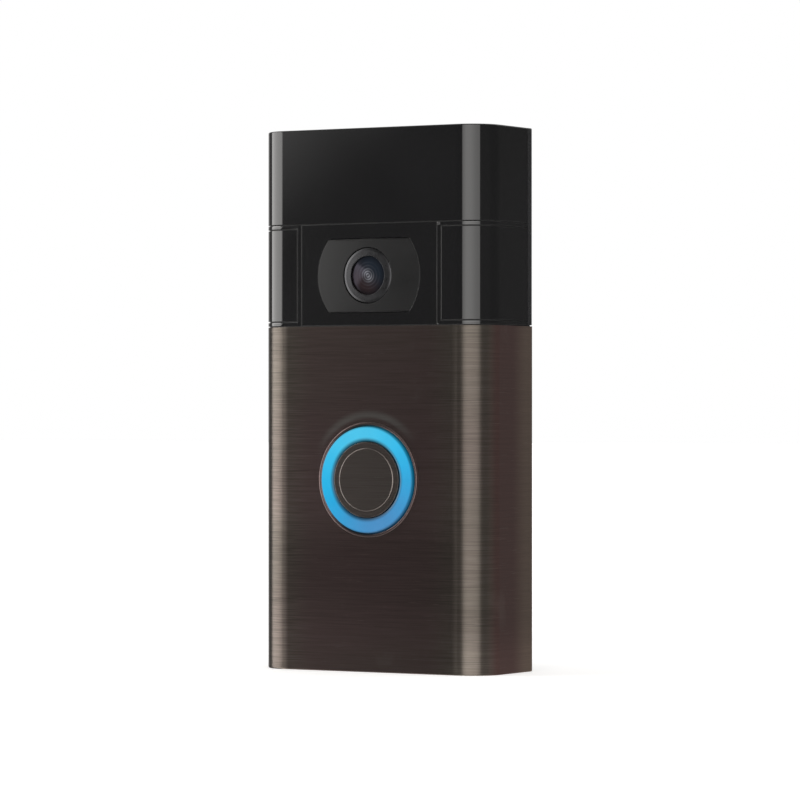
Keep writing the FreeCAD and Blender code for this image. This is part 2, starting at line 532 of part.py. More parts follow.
# ================================================================= button module
cap = turned(0, Z_BTN, [(0, YF - PROUD + 0.02), (DISC_R - 0.1, YF - PROUD), (DISC_R + 0.03, YF - PROUD + 0.12),
                        (BTN_R - 0.3, RING_Y + 0.02), (BTN_R, RING_Y + 0.3), (BTN_R, -11.15), (9.95, -11.15), (9.95, -10.6), (7.6, -10.6),
                        (7.6, -13.6), (2.0, -13.6), (2.0, -11.0), (0, -11.0)])
node("button_cap", cap)
plunger = turned(0, Z_BTN, [(0, -10.98), (1.2, -10.98), (1.2, -10.0), (0, -10.0)])
node("switch_plunger", plunger)
sw = box(-3.1, 3.1, -10.4, -8.2, Z_BTN - 3.1, Z_BTN + 3.1).cut(cyl_y(0, Z_BTN, 1.3, -12, -9.2))
node("button_switch", sw)
lring = turned(0, Z_BTN, [(RING_RI + 0.45, RING_Y), (RING_RO - 0.2, RING_Y), (RING_RO, RING_Y + 0.2), (RING_RO, -12.35), (13.1, -12.35),
                          (13.1, -11.35), (RING_RI, -11.35), (RING_RI, RING_Y + 0.2)])
node("light_ring", lring)
node("button_seal", ring_y(0, Z_BTN, 14.3, 13.2, -12.4, -11.3))
bh = turned(0, Z_BTN, [(12.0, -11.3), (14.3, -11.3), (14.3, -8.25), (12.95, -8.25), (12.95, -10.5), (12.0, -10.5)])
node("button_housing", bh)
rb = ring_y(0, Z_BTN, 12.85, 6.8, -9.3, -8.5)
node("ring_led_board", rb)
rl = []
for k in range(12):
    a = math.radians(30 * k + 15)
    b = box(-0.6, 0.6, -9.9, -9.3, -0.6, 0.6)
    b.rotate(V(0, 0, 0), V(0, 1, 0), -math.degrees(a))
    b.translate(V(11.2 * math.cos(a), 0, Z_BTN + 11.2 * math.sin(a)))
    rl.append(b)
node("ring_leds", compound(rl))

# ================================================================= main board
mb = rounded_plate(-25.0, 25.0, 18.0, 78.0, -8.2, -7.2, 1.5)
for bx, bz in BOARD_SCREWS:
    mb = mb.cut(cyl_y(bx, bz, 1.15, -10, -5))
node("main_board", mb)
bs = []
for bx, bz in BOARD_SCREWS:
    s = cyl_y(bx, bz, 1.8, -9.2, -8.2).fuse(cyl_y(bx, bz, 0.9, -8.3, -5.3))
    s = s.cut(box(bx - 1.0, bx + 1.0, -9.4, -8.7, bz - 0.2, bz + 0.2)).cut(box(bx - 0.2, bx + 0.2, -9.4, -8.7, bz - 1.0, bz + 1.0))
    bs.append(s.removeSplitter())
node("board_screws", compound(bs))
cans = []
for (x0, x1, z0, z1) in ((-23.0, -3.5, 60.5, 72.0), (3.5, 20.0, 60.5, 75.0), (-18.5, 4.5, 19.0, 29.0)):
    c = rounded_plate(x0, x1, z0, z1, -10.2, -8.2, 1.0)
    c = c.cut(rounded_plate(x0 + 0.3, x1 - 0.3, z0 + 0.3, z1 - 0.3, -9.9, -8.0, 0.7))
    cans.append(c)
node("shield_cans", compound(cans))
chips = [box(-18.0, -8.0, -9.3, -8.2, 62.0, 70.5), box(6.0, 15.0, -9.3, -8.2, 64.0, 73.0), box(-14.0, -5.0, -9.3, -8.2, 20.5, 27.5),
         box(16.5, 22.0, -9.4, -8.2, 52.0, 57.0), box(-22.5, -17.0, -9.5, -8.2, 48.0, 56.0), box(-22.0, -18.0, -9.2, -8.2, 32.0, 36.0)]
for k in range(4):
    chips.append(cyl_y(17.5 + 2.0 * (k % 2) - 0.2, 26.0 + 4.6 * (k // 2) + (k % 2) * 0.4, 0.8, -9.9, -8.2))
node("board_chips", compound(chips))
node("microphone", rounded_plate(14.5, 18.5, 18.2, 21.0, -9.3, -8.2, 0.4).cut(cyl_y(16.5, 19.6, 0.35, -10, -9.0)))

flex = fuse(box(-11.0, -4.0, -2.4, -2.2, 80.4, 88.0), box(-11.0, -4.0, -8.4, -2.2, 80.2, 80.4), box(-11.0, -4.0, -8.4, -8.2, 74.0, 80.4))
node("camera_flex", flex)
node("pir_flex", box(9.0, 14.0, -8.4, -8.2, 98.0, 108.5))
ants = [box(21.2, 26.2, -6.5, -6.2, 86.0, 101.0), box(-26.2, -21.2, -6.5, -6.2, 86.0, 101.0)]
node("wifi_antennas", compound(ants))

# ================================================================= battery
bat = box(-24.4, 24.4, -4.4, 6.2, 21.5, 77.0)
be = [e for e in bat.Edges if abs(e.Vertexes[0].Point.y - e.Vertexes[1].Point.y) < 1e-6
      and abs(e.Vertexes[0].Point.x - e.Vertexes[1].Point.x) < 1e-6]
bat = bat.makeFillet(4.0, be)
node("battery", bat)
node("battery_tape", compound([box(-20.0, 20.0, 6.2, 6.4, 28.0, 36.0), box(-20.0, 20.0, 6.2, 6.4, 62.0, 70.0)]))
conn = box(7.5, 13.5, -10.4, -8.2, 77.0 - 0.9, 77.95)
leads = []
lens_ = []
for dx in (-1.4, 1.4):
    x = 10.5 + dx
    s, ln = wire_tube([V(x, -2.6, 77.0), V(x, -2.6, 80.4), V(x, -9.4, 80.4), V(x, -9.4, 77.95)], 0.55, 2.2)
    leads.append(s)
    lens_.append((ln, s.Volume, math.pi * 0.55 ** 2 * ln))
node("battery_lead", compound(leads))
node("battery_connector", conn)
print("battery lead length, volume, section x length:", lens_, "bend radius 2.2")

# ================================================================= speaker
spk = soft_box(-13.0, 13.0, -4.3, 5.8, 3.9, 10.4, 1.0)
spk = spk.cut(box(-10.0, 10.0, -3.2, 4.7, 3.0, 4.6))
node("speaker", spk)
node("speaker_gasket", box(-13.0, 13.0, -4.3, 5.8, HZ0 + HWALL, 3.9).cut(box(-10.5, 10.5, -3.6, 5.0, 3, 5)))

# ================================================================= rear connections
io = rounded_plate(-12.5, 12.5, 82.4, 99.0, 2.2, 3.0, 1.0)
node("io_board", io)
nuts, tsc = [], []
for tx, tz in TERM:
    nuts.append(cyl_y(tx, tz, 2.8, 3.0, 8.3).cut(cyl_y(tx, tz, 1.7, 3.4, 9)))
    h = cyl_y(tx, tz, 3.1, 8.5, 10.3)
    ch = [e for e in h.Edges if e.Curve.TypeId == 'Part::GeomCircle' and abs(e.Vertexes[0].Point.y - 10.3) < 1e-6]
    h = h.makeFillet(0.6, ch)
    s = h.fuse(cyl_y(tx, tz, 1.6, 3.8, 8.6))
    s = s.cut(box(tx - 2.2, tx + 2.2, 9.4, 11, tz - 0.35, tz + 0.35)).cut(box(tx - 0.35, tx + 0.35, 9.4, 11, tz - 2.2, tz + 2.2))
    tsc.append(s.removeSplitter())
node("terminal_nuts", compound(nuts))
node("terminal_screws", compound(tsc))
usb = rounded_plate(USB_X - 3.9, USB_X + 3.9, USB_Z - 1.5, USB_Z + 1.5, 3.0, 8.2, 0.7)
usb = usb.cut(rounded_plate(USB_X - 3.55, USB_X + 3.55, USB_Z - 1.15, USB_Z + 1.15, 3.8, 9.0, 0.5))
usb = usb.fuse(box(USB_X - 2.4, USB_X + 2.4, 3.5, 7.6, USB_Z - 0.3, USB_Z + 0.3)).removeSplitter()
node("charging_port", usb)
node("setup_switch", box(SET_X - 2.4, SET_X + 2.4, 3.0, 4.2, SET_Z - 2.4, SET_Z + 2.4))
sb = turned(SET_X, SET_Z, [(0, 8.75), (2.4, 8.75), (2.8, 8.4), (2.8, 6.3), (3.4, 6.3), (3.4, 5.6), (1.2, 5.6), (1.2, 4.85), (0, 4.85)])
node("setup_button", sb)

bad = []
total = None
for n, s in NODES.items():
    ok = s.isValid() and s.Volume > 0 and len(s.Solids) > 0
    bb = s.BoundBox
    print("%-18s solids %d vol %9.2f valid %s  x %.2f..%.2f y %.2f..%.2f z %.2f..%.2f" % (
        n, len(s.Solids), s.Volume, s.isValid(), bb.XMin, bb.XMax, bb.YMin, bb.YMax, bb.ZMin, bb.ZMax))
    if not ok:
        bad.append(n)
print("nodes", len(NODES), "bad", bad)
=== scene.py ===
"""Video doorbell: finishes, fine meshes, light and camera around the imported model.

Lengths in the helper functions are millimetres; every mesh is scaled to metres when it is finished.
"""
import json
import math

import bmesh
import bpy
from mathutils import Matrix, Vector


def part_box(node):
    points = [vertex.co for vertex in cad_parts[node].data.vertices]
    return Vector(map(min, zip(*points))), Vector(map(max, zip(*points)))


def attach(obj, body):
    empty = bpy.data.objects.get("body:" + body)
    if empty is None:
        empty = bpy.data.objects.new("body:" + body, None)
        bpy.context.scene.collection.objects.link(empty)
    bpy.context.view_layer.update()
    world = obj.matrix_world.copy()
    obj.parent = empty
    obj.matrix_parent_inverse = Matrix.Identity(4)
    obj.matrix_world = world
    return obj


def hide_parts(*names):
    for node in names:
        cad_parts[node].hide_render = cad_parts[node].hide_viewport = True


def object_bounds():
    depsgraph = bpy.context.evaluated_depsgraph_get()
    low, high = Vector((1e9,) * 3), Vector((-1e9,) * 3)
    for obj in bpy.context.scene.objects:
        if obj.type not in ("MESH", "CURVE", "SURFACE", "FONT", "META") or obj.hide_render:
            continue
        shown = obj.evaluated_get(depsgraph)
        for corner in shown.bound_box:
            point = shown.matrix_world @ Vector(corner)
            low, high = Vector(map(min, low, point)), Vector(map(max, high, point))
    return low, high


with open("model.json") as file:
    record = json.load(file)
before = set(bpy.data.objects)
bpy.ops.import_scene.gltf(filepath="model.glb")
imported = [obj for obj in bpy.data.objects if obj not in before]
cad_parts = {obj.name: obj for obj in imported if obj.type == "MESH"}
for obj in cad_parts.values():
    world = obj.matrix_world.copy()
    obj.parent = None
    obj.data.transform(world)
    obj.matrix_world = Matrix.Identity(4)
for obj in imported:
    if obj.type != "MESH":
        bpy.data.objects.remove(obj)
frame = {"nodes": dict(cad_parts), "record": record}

cad_lo, cad_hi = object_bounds()
scene = bpy.context.scene
NODES = frame["nodes"]
BODY = {n: b for b, ns in frame["record"]["behaviour"]["bodies"].items() for n in ns}
SLOT = {s["node"]: s["material_slot"] for s in frame["record"]["subparts"]}
rad = math.radians


def bx(node):
    lo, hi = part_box(node)
    return [c * 1000 for c in lo], [c * 1000 for c in hi]


# ------------------------------------------------------------------ places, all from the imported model
FP0, FP1 = bx("faceplate")
TC0, TC1 = bx("top_cover")
BZ0, BZ1 = bx("camera_bezel")
LP0, LP1 = bx("left_side_panel")
RP0, RP1 = bx("right_side_panel")
CW0, CW1 = bx("camera_window")
CR0, CR1 = bx("camera_surround")
LR0, LR1 = bx("lens_ring")
GL0, GL1 = bx("front_lens")
RG0, RG1 = bx("light_ring")
BC0, BC1 = bx("button_cap")
HW = FP1[0]
YF = TC0[1]               # front plane of the case
Z_BTN = (BC0[2] + BC1[2]) / 2
Z_CAM = (LR0[2] + LR1[2]) / 2
R = 7.4                 # vertical front corners
WALL_FP, WALL_TC = 1.6, 1.8
HOLE_R, COLLAR_R, COLLAR_H = 12.6, 13.35, 0.45
DOME_R, DOME_H = 13.8, 8.6
GROOVE, PANEL_GAP = 0.4, 0.3


def ly(d):
    """A place in depth, given behind the case's front plane."""
    return YF + d


# ------------------------------------------------------------------ mesh helpers
def obj_from(name, verts, faces):
    me = bpy.data.meshes.new(name)
    me.from_pydata(verts, [], faces)
    ob = bpy.data.objects.new(name, me)
    scene.collection.objects.link(ob)
    bm = bmesh.new()
    bm.from_mesh(me)
    bmesh.ops.recalc_face_normals(bm, faces=bm.faces)
    bm.to_mesh(me)
    bm.free()
    return ob


def case_outline(inset, y_back, seg=36):
    """Case outline drawn in by inset, square at the back, counterclockwise from above."""
    x, yf, r = HW - inset, YF + inset, max(R - inset, 0.4)
    pts = [(-x, y_back)]
    for k in range(seg + 1):
        a = math.pi + math.pi / 2 * k / seg
        pts.append((-x + r + r * math.cos(a), yf + r + r * math.sin(a)))
    for k in range(seg + 1):
        a = 1.5 * math.pi + math.pi / 2 * k / seg
        pts.append((x - r + r * math.cos(a), yf + r + r * math.sin(a)))
    pts.append((x, y_back))
    return pts


def prism_z(name, outline, z0, z1):
    n = len(outline)
    v = [(x, y, z0) for x, y in outline] + [(x, y, z1) for x, y in outline]
    f = [tuple(range(n - 1, -1, -1)), tuple(range(n, 2 * n))]
    f += [(k, (k + 1) % n, n + (k + 1) % n, n + k) for k in range(n)]
    return obj_from(name, v, f)


def prism_y(name, outline, y0, y1):
    """outline in (x, z)."""
    n = len(outline)
    v = [(x, y0, z) for x, z in outline] + [(x, y1, z) for x, z in outline]
    f = [tuple(range(n)), tuple(range(2 * n - 1, n - 1, -1))]
    f += [((k + 1) % n, k, n + k, n + (k + 1) % n) for k in range(n)]
    return obj_from(name, v, f)


def block(name, x0, x1, y0, y1, z0, z1):
    return prism_z(name, [(x0, y0), (x1, y0), (x1, y1), (x0, y1)], z0, z1)


def lathe(name, x, z, profile, seg=144):
    """Turned about the Y axis through (x, z). profile is a closed list of (r, y)."""
    verts, rows = [], []
    for r, y in profile:
        if r < 1e-6:
            rows.append([len(verts)])
            verts.append((x, y, z))
        else:
            base = len(verts)
            for k in range(seg):
                a = 2 * math.pi * k / seg
                verts.append((x + r * math.cos(a), y, z + r * math.sin(a)))
            rows.append([base + k for k in range(seg)])
    faces = []
    n = len(rows)
    for i in range(n):
        a, b = rows[i], rows[(i + 1) % n]
        if len(a) == 1 and len(b) == 1:
            continue
        for k in range(seg):
            k2 = (k + 1) % seg
            if len(a) == 1:
                faces.append((a[0], b[k], b[k2]))
            elif len(b) == 1:
                faces.append((a[k2], a[k], b[0]))
            else:
                faces.append((a[k], a[k2], b[k2], b[k]))
    return obj_from(name, verts, faces)


def cyl_y(name, x, z, r, y0, y1, seg=96):
    return lathe(name, x, z, [(0, y0), (r, y0), (r, y1), (0, y1)], seg)


def filleted(pts, radii, n=5, closed=True):
    """Rounds the corners of a polyline. radii is one number, or one per point (0 keeps it sharp)."""
    m = len(pts)
    if not hasattr(radii, "__len__"):
        radii = [radii] * m
    out = []
    for i, p in enumerate(pts):
        rr = radii[i]
        if rr <= 0 or (not closed and i in (0, m - 1)):
            out.append(p)
            continue
        a, b = Vector(pts[i - 1]), Vector(pts[(i + 1) % m])
        c = Vector(p)
        u, v = (a - c), (b - c)
        lu, lv = u.length, v.length
        u.normalize(); v.normalize()
        ang = u.angle(v)
        if ang > math.pi - 0.02:
            out.append(p)
            continue
        t = min(rr / math.tan(ang / 2), 0.48 * lu, 0.48 * lv)
        rr = t * math.tan(ang / 2)
        bis = (u + v).normalized()
        cen = c + bis * (rr / math.sin(ang / 2))
        s = c + u * t - cen
        e = c + v * t - cen
        tot = s.angle_signed(e)
        for k in range(n + 1):
            w = s.copy()
            w.rotate(Matrix.Rotation(-tot * k / n, 2))
            out.append(tuple(cen + w))
    return out


def supported(pts, longest=0.45, edge=0.12):
    """Adds a point near each end of every long straight run, so the run shades flat."""
    out = []
    n = len(pts)
    for i in range(n):
        p, q = pts[i], pts[(i + 1) % n]
        out.append(p)
        length = math.hypot(q[0] - p[0], q[1] - p[1])
        if length > longest and max(p[0], q[0]) > 1e-6 and not (p[0] < 1e-6 and q[0] < 1e-6):
            for u in (edge / length, 1 - edge / length):
                out.append((p[0] + (q[0] - p[0]) * u, p[1] + (q[1] - p[1]) * u))
    return out


def arc_pts(r0, y0, r1, y1, sphere_r, n, concave_y):
    """Points from (r0, y0) to (r1, y1) on a circle centred on the axis at height concave_y."""
    a0 = math.atan2(r0, abs(y0 - concave_y))
    a1 = math.atan2(r1, abs(y1 - concave_y))
    s = 1 if y0 > concave_y else -1
    return [(sphere_r * math.sin(a0 + (a1 - a0) * k / n), concave_y + s * sphere_r * math.cos(a0 + (a1 - a0) * k / n)) for k in range(n + 1)]


def apply_mods(ob):
    bpy.context.view_layer.update()
    dg = bpy.context.evaluated_depsgraph_get()
    me = bpy.data.meshes.new_from_object(ob.evaluated_get(dg), preserve_all_data_layers=True, depsgraph=dg)
    old = ob.data
    ob.modifiers.clear()
    ob.data = me
    bpy.data.meshes.remove(old)
    return ob


def csg(a, op, *tools):
    for t in tools:
        m = a.modifiers.new("csg", "BOOLEAN")
        m.solver = "EXACT"
        m.operation = op
        m.object = t
        apply_mods(a)
        me = t.data
        bpy.data.objects.remove(t)
        bpy.data.meshes.remove(me)
    return a


def cut(a, *tools):
    return csg(a, "DIFFERENCE", *tools)


def join(a, *tools):
    return csg(a, "UNION", *tools)


def common(a, *tools):
    return csg(a, "INTERSECT", *tools)


def clean(ob, dist=0.0008, flat=0.4):
    bm = bmesh.new()
    bm.from_mesh(ob.data)
    bmesh.ops.remove_doubles(bm, verts=bm.verts, dist=dist)
    bmesh.ops.dissolve_degenerate(bm, edges=bm.edges, dist=dist)
    bm.to_mesh(ob.data)
    bm.free()
    return ob


def bevel(ob, rule, widest, segments=4, angle=20.0):
    """Rounds edges. rule(mid, convex, face_angle_deg) gives each edge's width in mm, or 0."""
    me = ob.data
    bm = bmesh.new()
    bm.from_mesh(me)
    lay = bm.edges.layers.float.get("bevel_weight_edge") or bm.edges.layers.float.new("bevel_weight_edge")
    for e in bm.edges:
        e[lay] = 0.0
        if len(e.link_faces) != 2:
            continue
        ang = math.degrees(e.calc_face_angle(0.0))
        if ang < 2.0:
            continue
        w = rule((e.verts[0].co + e.verts[1].co) / 2, e.is_convex, ang)
        if w is None:
            w = 0.1 if ang > angle and e.is_convex else 0.0
        e[lay] = max(0.0, min(1.0, w / widest))
    bm.to_mesh(me)
    bm.free()
    m = ob.modifiers.new("bevel", "BEVEL")
    m.limit_method = "WEIGHT"
    m.offset_type = "OFFSET"
    m.width = widest
    m.segments = segments
    m.use_clamp_overlap = False
    m.miter_outer = "MITER_SHARP"
    m.harden_normals = False
    return apply_mods(ob)


def done(ob, node, sharp=32.0, weighted=True):
    """Scales to metres, smooths, and puts the piece in place of its CAD node."""
    me = ob.data
    for a in list(me.attributes):
        if a.name == "bevel_weight_edge":
            me.attributes.remove(a)
    me.transform(Matrix.Scale(0.001, 4))
    bm = bmesh.new()
    bm.from_mesh(me)
    bmesh.ops.recalc_face_normals(bm, faces=bm.faces)
    for f in bm.faces:
        f.smooth = True
    for e in bm.edges:
        e.smooth = not (len(e.link_faces) != 2 or math.degrees(e.calc_face_angle(0.0)) > sharp)
    bad = sum(1 for e in bm.edges if len(e.link_faces) != 2)
    vol = bm.calc_volume()
    bm.to_mesh(me)
    bm.free()
    if weighted:
        m = ob.modifiers.new("normals", "WEIGHTED_NORMAL")
        m.mode = "FACE_AREA"
        m.keep_sharp = True
        m.weight = 60
    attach(ob, BODY[node])
    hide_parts(node)
    ob.data.materials.clear()
    ob.data.materials.append(MATERIAL[SLOT[node]])
    print("piece %-22s verts %6d open edges %d volume %.1f mm3" % (ob.name, len(me.vertices), bad, vol * 1e9))
    return ob


# ------------------------------------------------------------------ node helpers
class Tree:
    def __init__(self, tree):
        self.t = tree
        self.n = tree.nodes
        self.l = tree.links
        self.n.clear()

    def add(self, kind, **kw):
        nd = self.n.new(kind)
        ins = kw.pop("ins", {})
        for k, v in kw.items():
            setattr(nd, k, v)
        for k, v in ins.items():
            self.put(nd, k, v)
        return nd

    def put(self, nd, key, v):
        s = nd.inputs[key]
        if isinstance(v, bpy.types.NodeSocket):
            self.l.new(v, s)
        elif isinstance(v, bpy.types.Node):
            self.l.new(v.outputs[0], s)
        else:
            s.default_value = v

    def math(self, op, a, b=0.0, c=None, clamp=False):
        ins = {0: a, 1: b}
        if c is not None:
            ins[2] = c
        return self.add("ShaderNodeMath", operation=op, use_clamp=clamp, ins=ins).outputs[0]

    def ramp(self, v, lo, hi, to0=0.0, to1=1.0, smooth=True):
        nd = self.add("ShaderNodeMapRange", interpolation_type="SMOOTHSTEP" if smooth else "LINEAR", clamp=True)
        for k, x in ((0, v), (1, lo), (2, hi), (3, to0), (4, to1)):
            self.put(nd, k, x)
        return nd.outputs[0]

    def mix(self, f, a, b, kind="MIX"):
        nd = self.add("ShaderNodeMix", data_type="RGBA", blend_type=kind)
        self.put(nd, 0, f)
        self.put(nd, 6, a)
        self.put(nd, 7, b)
        return nd.outputs[2]

    def coords(self, scale=(1, 1, 1), loc=(0, 0, 0), rot=(0, 0, 0)):
        if not hasattr(self, "_tc"):
            self._tc = self.add("ShaderNodeTexCoord").outputs["Object"]
        nd = self.add("ShaderNodeMapping")
        self.l.new(self._tc, nd.inputs["Vector"])
        nd.inputs["Scale"].default_value = scale
        nd.inputs["Location"].default_value = loc
        nd.inputs["Rotation"].default_value = rot
        return nd.outputs[0]

    def noise(self, vec, scale=1.0, detail=3.0, rough=0.5, dist=0.0):
        nd = self.add("ShaderNodeTexNoise")
        self.put(nd, "Vector", vec)
        nd.inputs["Scale"].default_value = scale
        nd.inputs["Detail"].default_value = detail
        nd.inputs["Roughness"].default_value = rough
        nd.inputs["Distortion"].default_value = dist
        return nd.outputs[0]

    def voronoi(self, vec, scale=1.0, feature="F1", out=0, rand=1.0):
        nd = self.add("ShaderNodeTexVoronoi", feature=feature)
        self.put(nd, "Vector", vec)
        nd.inputs["Scale"].default_value = scale
        if "Randomness" in nd.inputs:
            nd.inputs["Randomness"].default_value = rand
        return nd.outputs[out]

    def bump(self, height, distance, strength=1.0, normal=None):
        nd = self.add("ShaderNodeBump")
        self.put(nd, "Height", height)
        nd.inputs["Distance"].default_value = distance
        nd.inputs["Strength"].default_value = strength
        if normal is not None:
            self.put(nd, "Normal", normal)
        return nd.outputs[0]


def rgb(c):
    return (c[0], c[1], c[2], 1.0)


def new_mat(name):
    m = bpy.data.materials.new(name)
    m.use_nodes = True
    t = Tree(m.node_tree)
    out = t.add("ShaderNodeOutputMaterial")
    p = t.add("ShaderNodeBsdfPrincipled")
    t.l.new(p.outputs[0], out.inputs[0])
    return m, t, p


def scaled(c, k):
    return tuple(min(1.0, x * k) for x in c[:3])


# ------------------------------------------------------------------ materials
def moulded(name, base, rough=0.45, grain=0.35, bump=0.00002, spread=0.10, var=0.18, ior=1.5, edge=0.25, metallic=0.0, fleck=0.0):
    """Moulded or cast surface: fine texture, slow colour drift, worn high edges. grain is its pitch in mm."""
    m, t, p = new_mat(name)
    big = t.noise(t.coords(), 40.0, 3.0, 0.55)
    fine = t.noise(t.coords(), 1000.0 / grain, 2.0, 0.6)
    cells = t.voronoi(t.coords(), 700.0 / grain)
    col = t.mix(t.ramp(big, 0.3, 0.7), rgb(scaled(base, 1 - var)), rgb(scaled(base, 1 + var)))
    col = t.mix(t.ramp(fine, 0.55, 0.8, 0.0, 0.5), col, rgb(scaled(base, 1.5)))
    geo = t.add("ShaderNodeNewGeometry")
    worn = t.ramp(geo.outputs["Pointiness"], 0.52, 0.62, 0.0, edge)
    worn = t.math("MULTIPLY", worn, t.ramp(t.noise(t.coords(), 900.0, 2.0), 0.35, 0.7))
    col = t.mix(worn, col, rgb(tuple(min(1, x * 1.6 + 0.03) for x in base[:3])))
    if fleck:
        col = t.mix(t.ramp(t.noise(t.coords(), 2600.0, 1.0), 0.66, 0.74, 0.0, fleck), col, rgb(scaled(base, 2.2)))
    t.put(p, "Base Color", col)
    r = t.math("ADD", t.ramp(fine, 0.3, 0.7, rough - spread, rough + spread), t.ramp(big, 0.3, 0.7, -spread * 0.4, spread * 0.4))
    t.put(p, "Roughness", t.math("SUBTRACT", r, t.math("MULTIPLY", worn, 0.25), clamp=True))
    h = t.math("ADD", fine, t.math("MULTIPLY", cells, 0.7))
    t.put(p, "Normal", t.bump(h, bump, 0.9))
    p.inputs["IOR"].default_value = ior
    p.inputs["Metallic"].default_value = metallic
    return m


def metal(name, base, rough=0.3, lines=(30, 30, 30), bump=0.000004, spread=0.08, var=0.12, aniso=0.0, tarnish=None, wear=0.5):
    m, t, p = new_mat(name)
    big = t.noise(t.coords(), 60.0, 4.0, 0.6)
    fine = t.noise(t.coords(lines), 100.0, 3.0, 0.6)
    col = t.mix(t.ramp(fine, 0.3, 0.7), rgb(scaled(base, 1 - var)), rgb(scaled(base, 1 + var)))
    if tarnish:
        col = t.mix(t.ramp(big, 0.5, 0.72, 0.0, 0.55), col, rgb(tarnish))
    geo = t.add("ShaderNodeNewGeometry")
    worn = t.ramp(geo.outputs["Pointiness"], 0.52, 0.64, 0.0, wear)
    col = t.mix(worn, col, rgb(tuple(min(1, x * 1.25 + 0.05) for x in base[:3])))
    t.put(p, "Base Color", col)
    r = t.math("ADD", t.ramp(fine, 0.3, 0.7, rough - spread, rough + spread), t.ramp(big, 0.3, 0.7, -0.04, 0.06), clamp=True)
    t.put(p, "Roughness", r)
    t.put(p, "Normal", t.bump(fine, bump, 0.8))
    p.inputs["Metallic"].default_value = 1.0
    if aniso:
        p.inputs["Anisotropic"].default_value = aniso
    return m


def gloss_black(name, base):
    m, t, p = new_mat(name)
    big = t.noise(t.coords(), 25.0, 2.0, 0.5)
    peel = t.noise(t.coords(), 420.0, 2.0, 0.5)
    scr = t.noise(t.coords((900, 900, 40), rot=(0.25, 0.1, 0.0)), 1.0, 2.0, 0.6)
    scr2 = t.noise(t.coords((60, 60, 1100), rot=(0.1, -0.35, 0.0)), 1.0, 2.0, 0.6)
    lines = t.math("MAXIMUM", t.ramp(scr, 0.70, 0.78), t.ramp(scr2, 0.72, 0.80))
    dust = t.ramp(t.voronoi(t.coords(), 260.0), 0.05, 0.02)
    t.put(p, "Base Color", t.mix(t.ramp(big, 0.3, 0.7), rgb(scaled(base, 0.85)), rgb(scaled(base, 1.15))))
    r = t.math("ADD", t.ramp(big, 0.3, 0.7, 0.050, 0.075), t.math("MULTIPLY", lines, 0.05))
    t.put(p, "Roughness", t.math("ADD", r, t.math("MULTIPLY", dust, 0.04), clamp=True))
    t.put(p, "Normal", t.bump(t.math("ADD", peel, t.math("MULTIPLY", lines, 0.15)), 0.0000006, 0.5))
    p.inputs["IOR"].default_value = 1.5
    return m


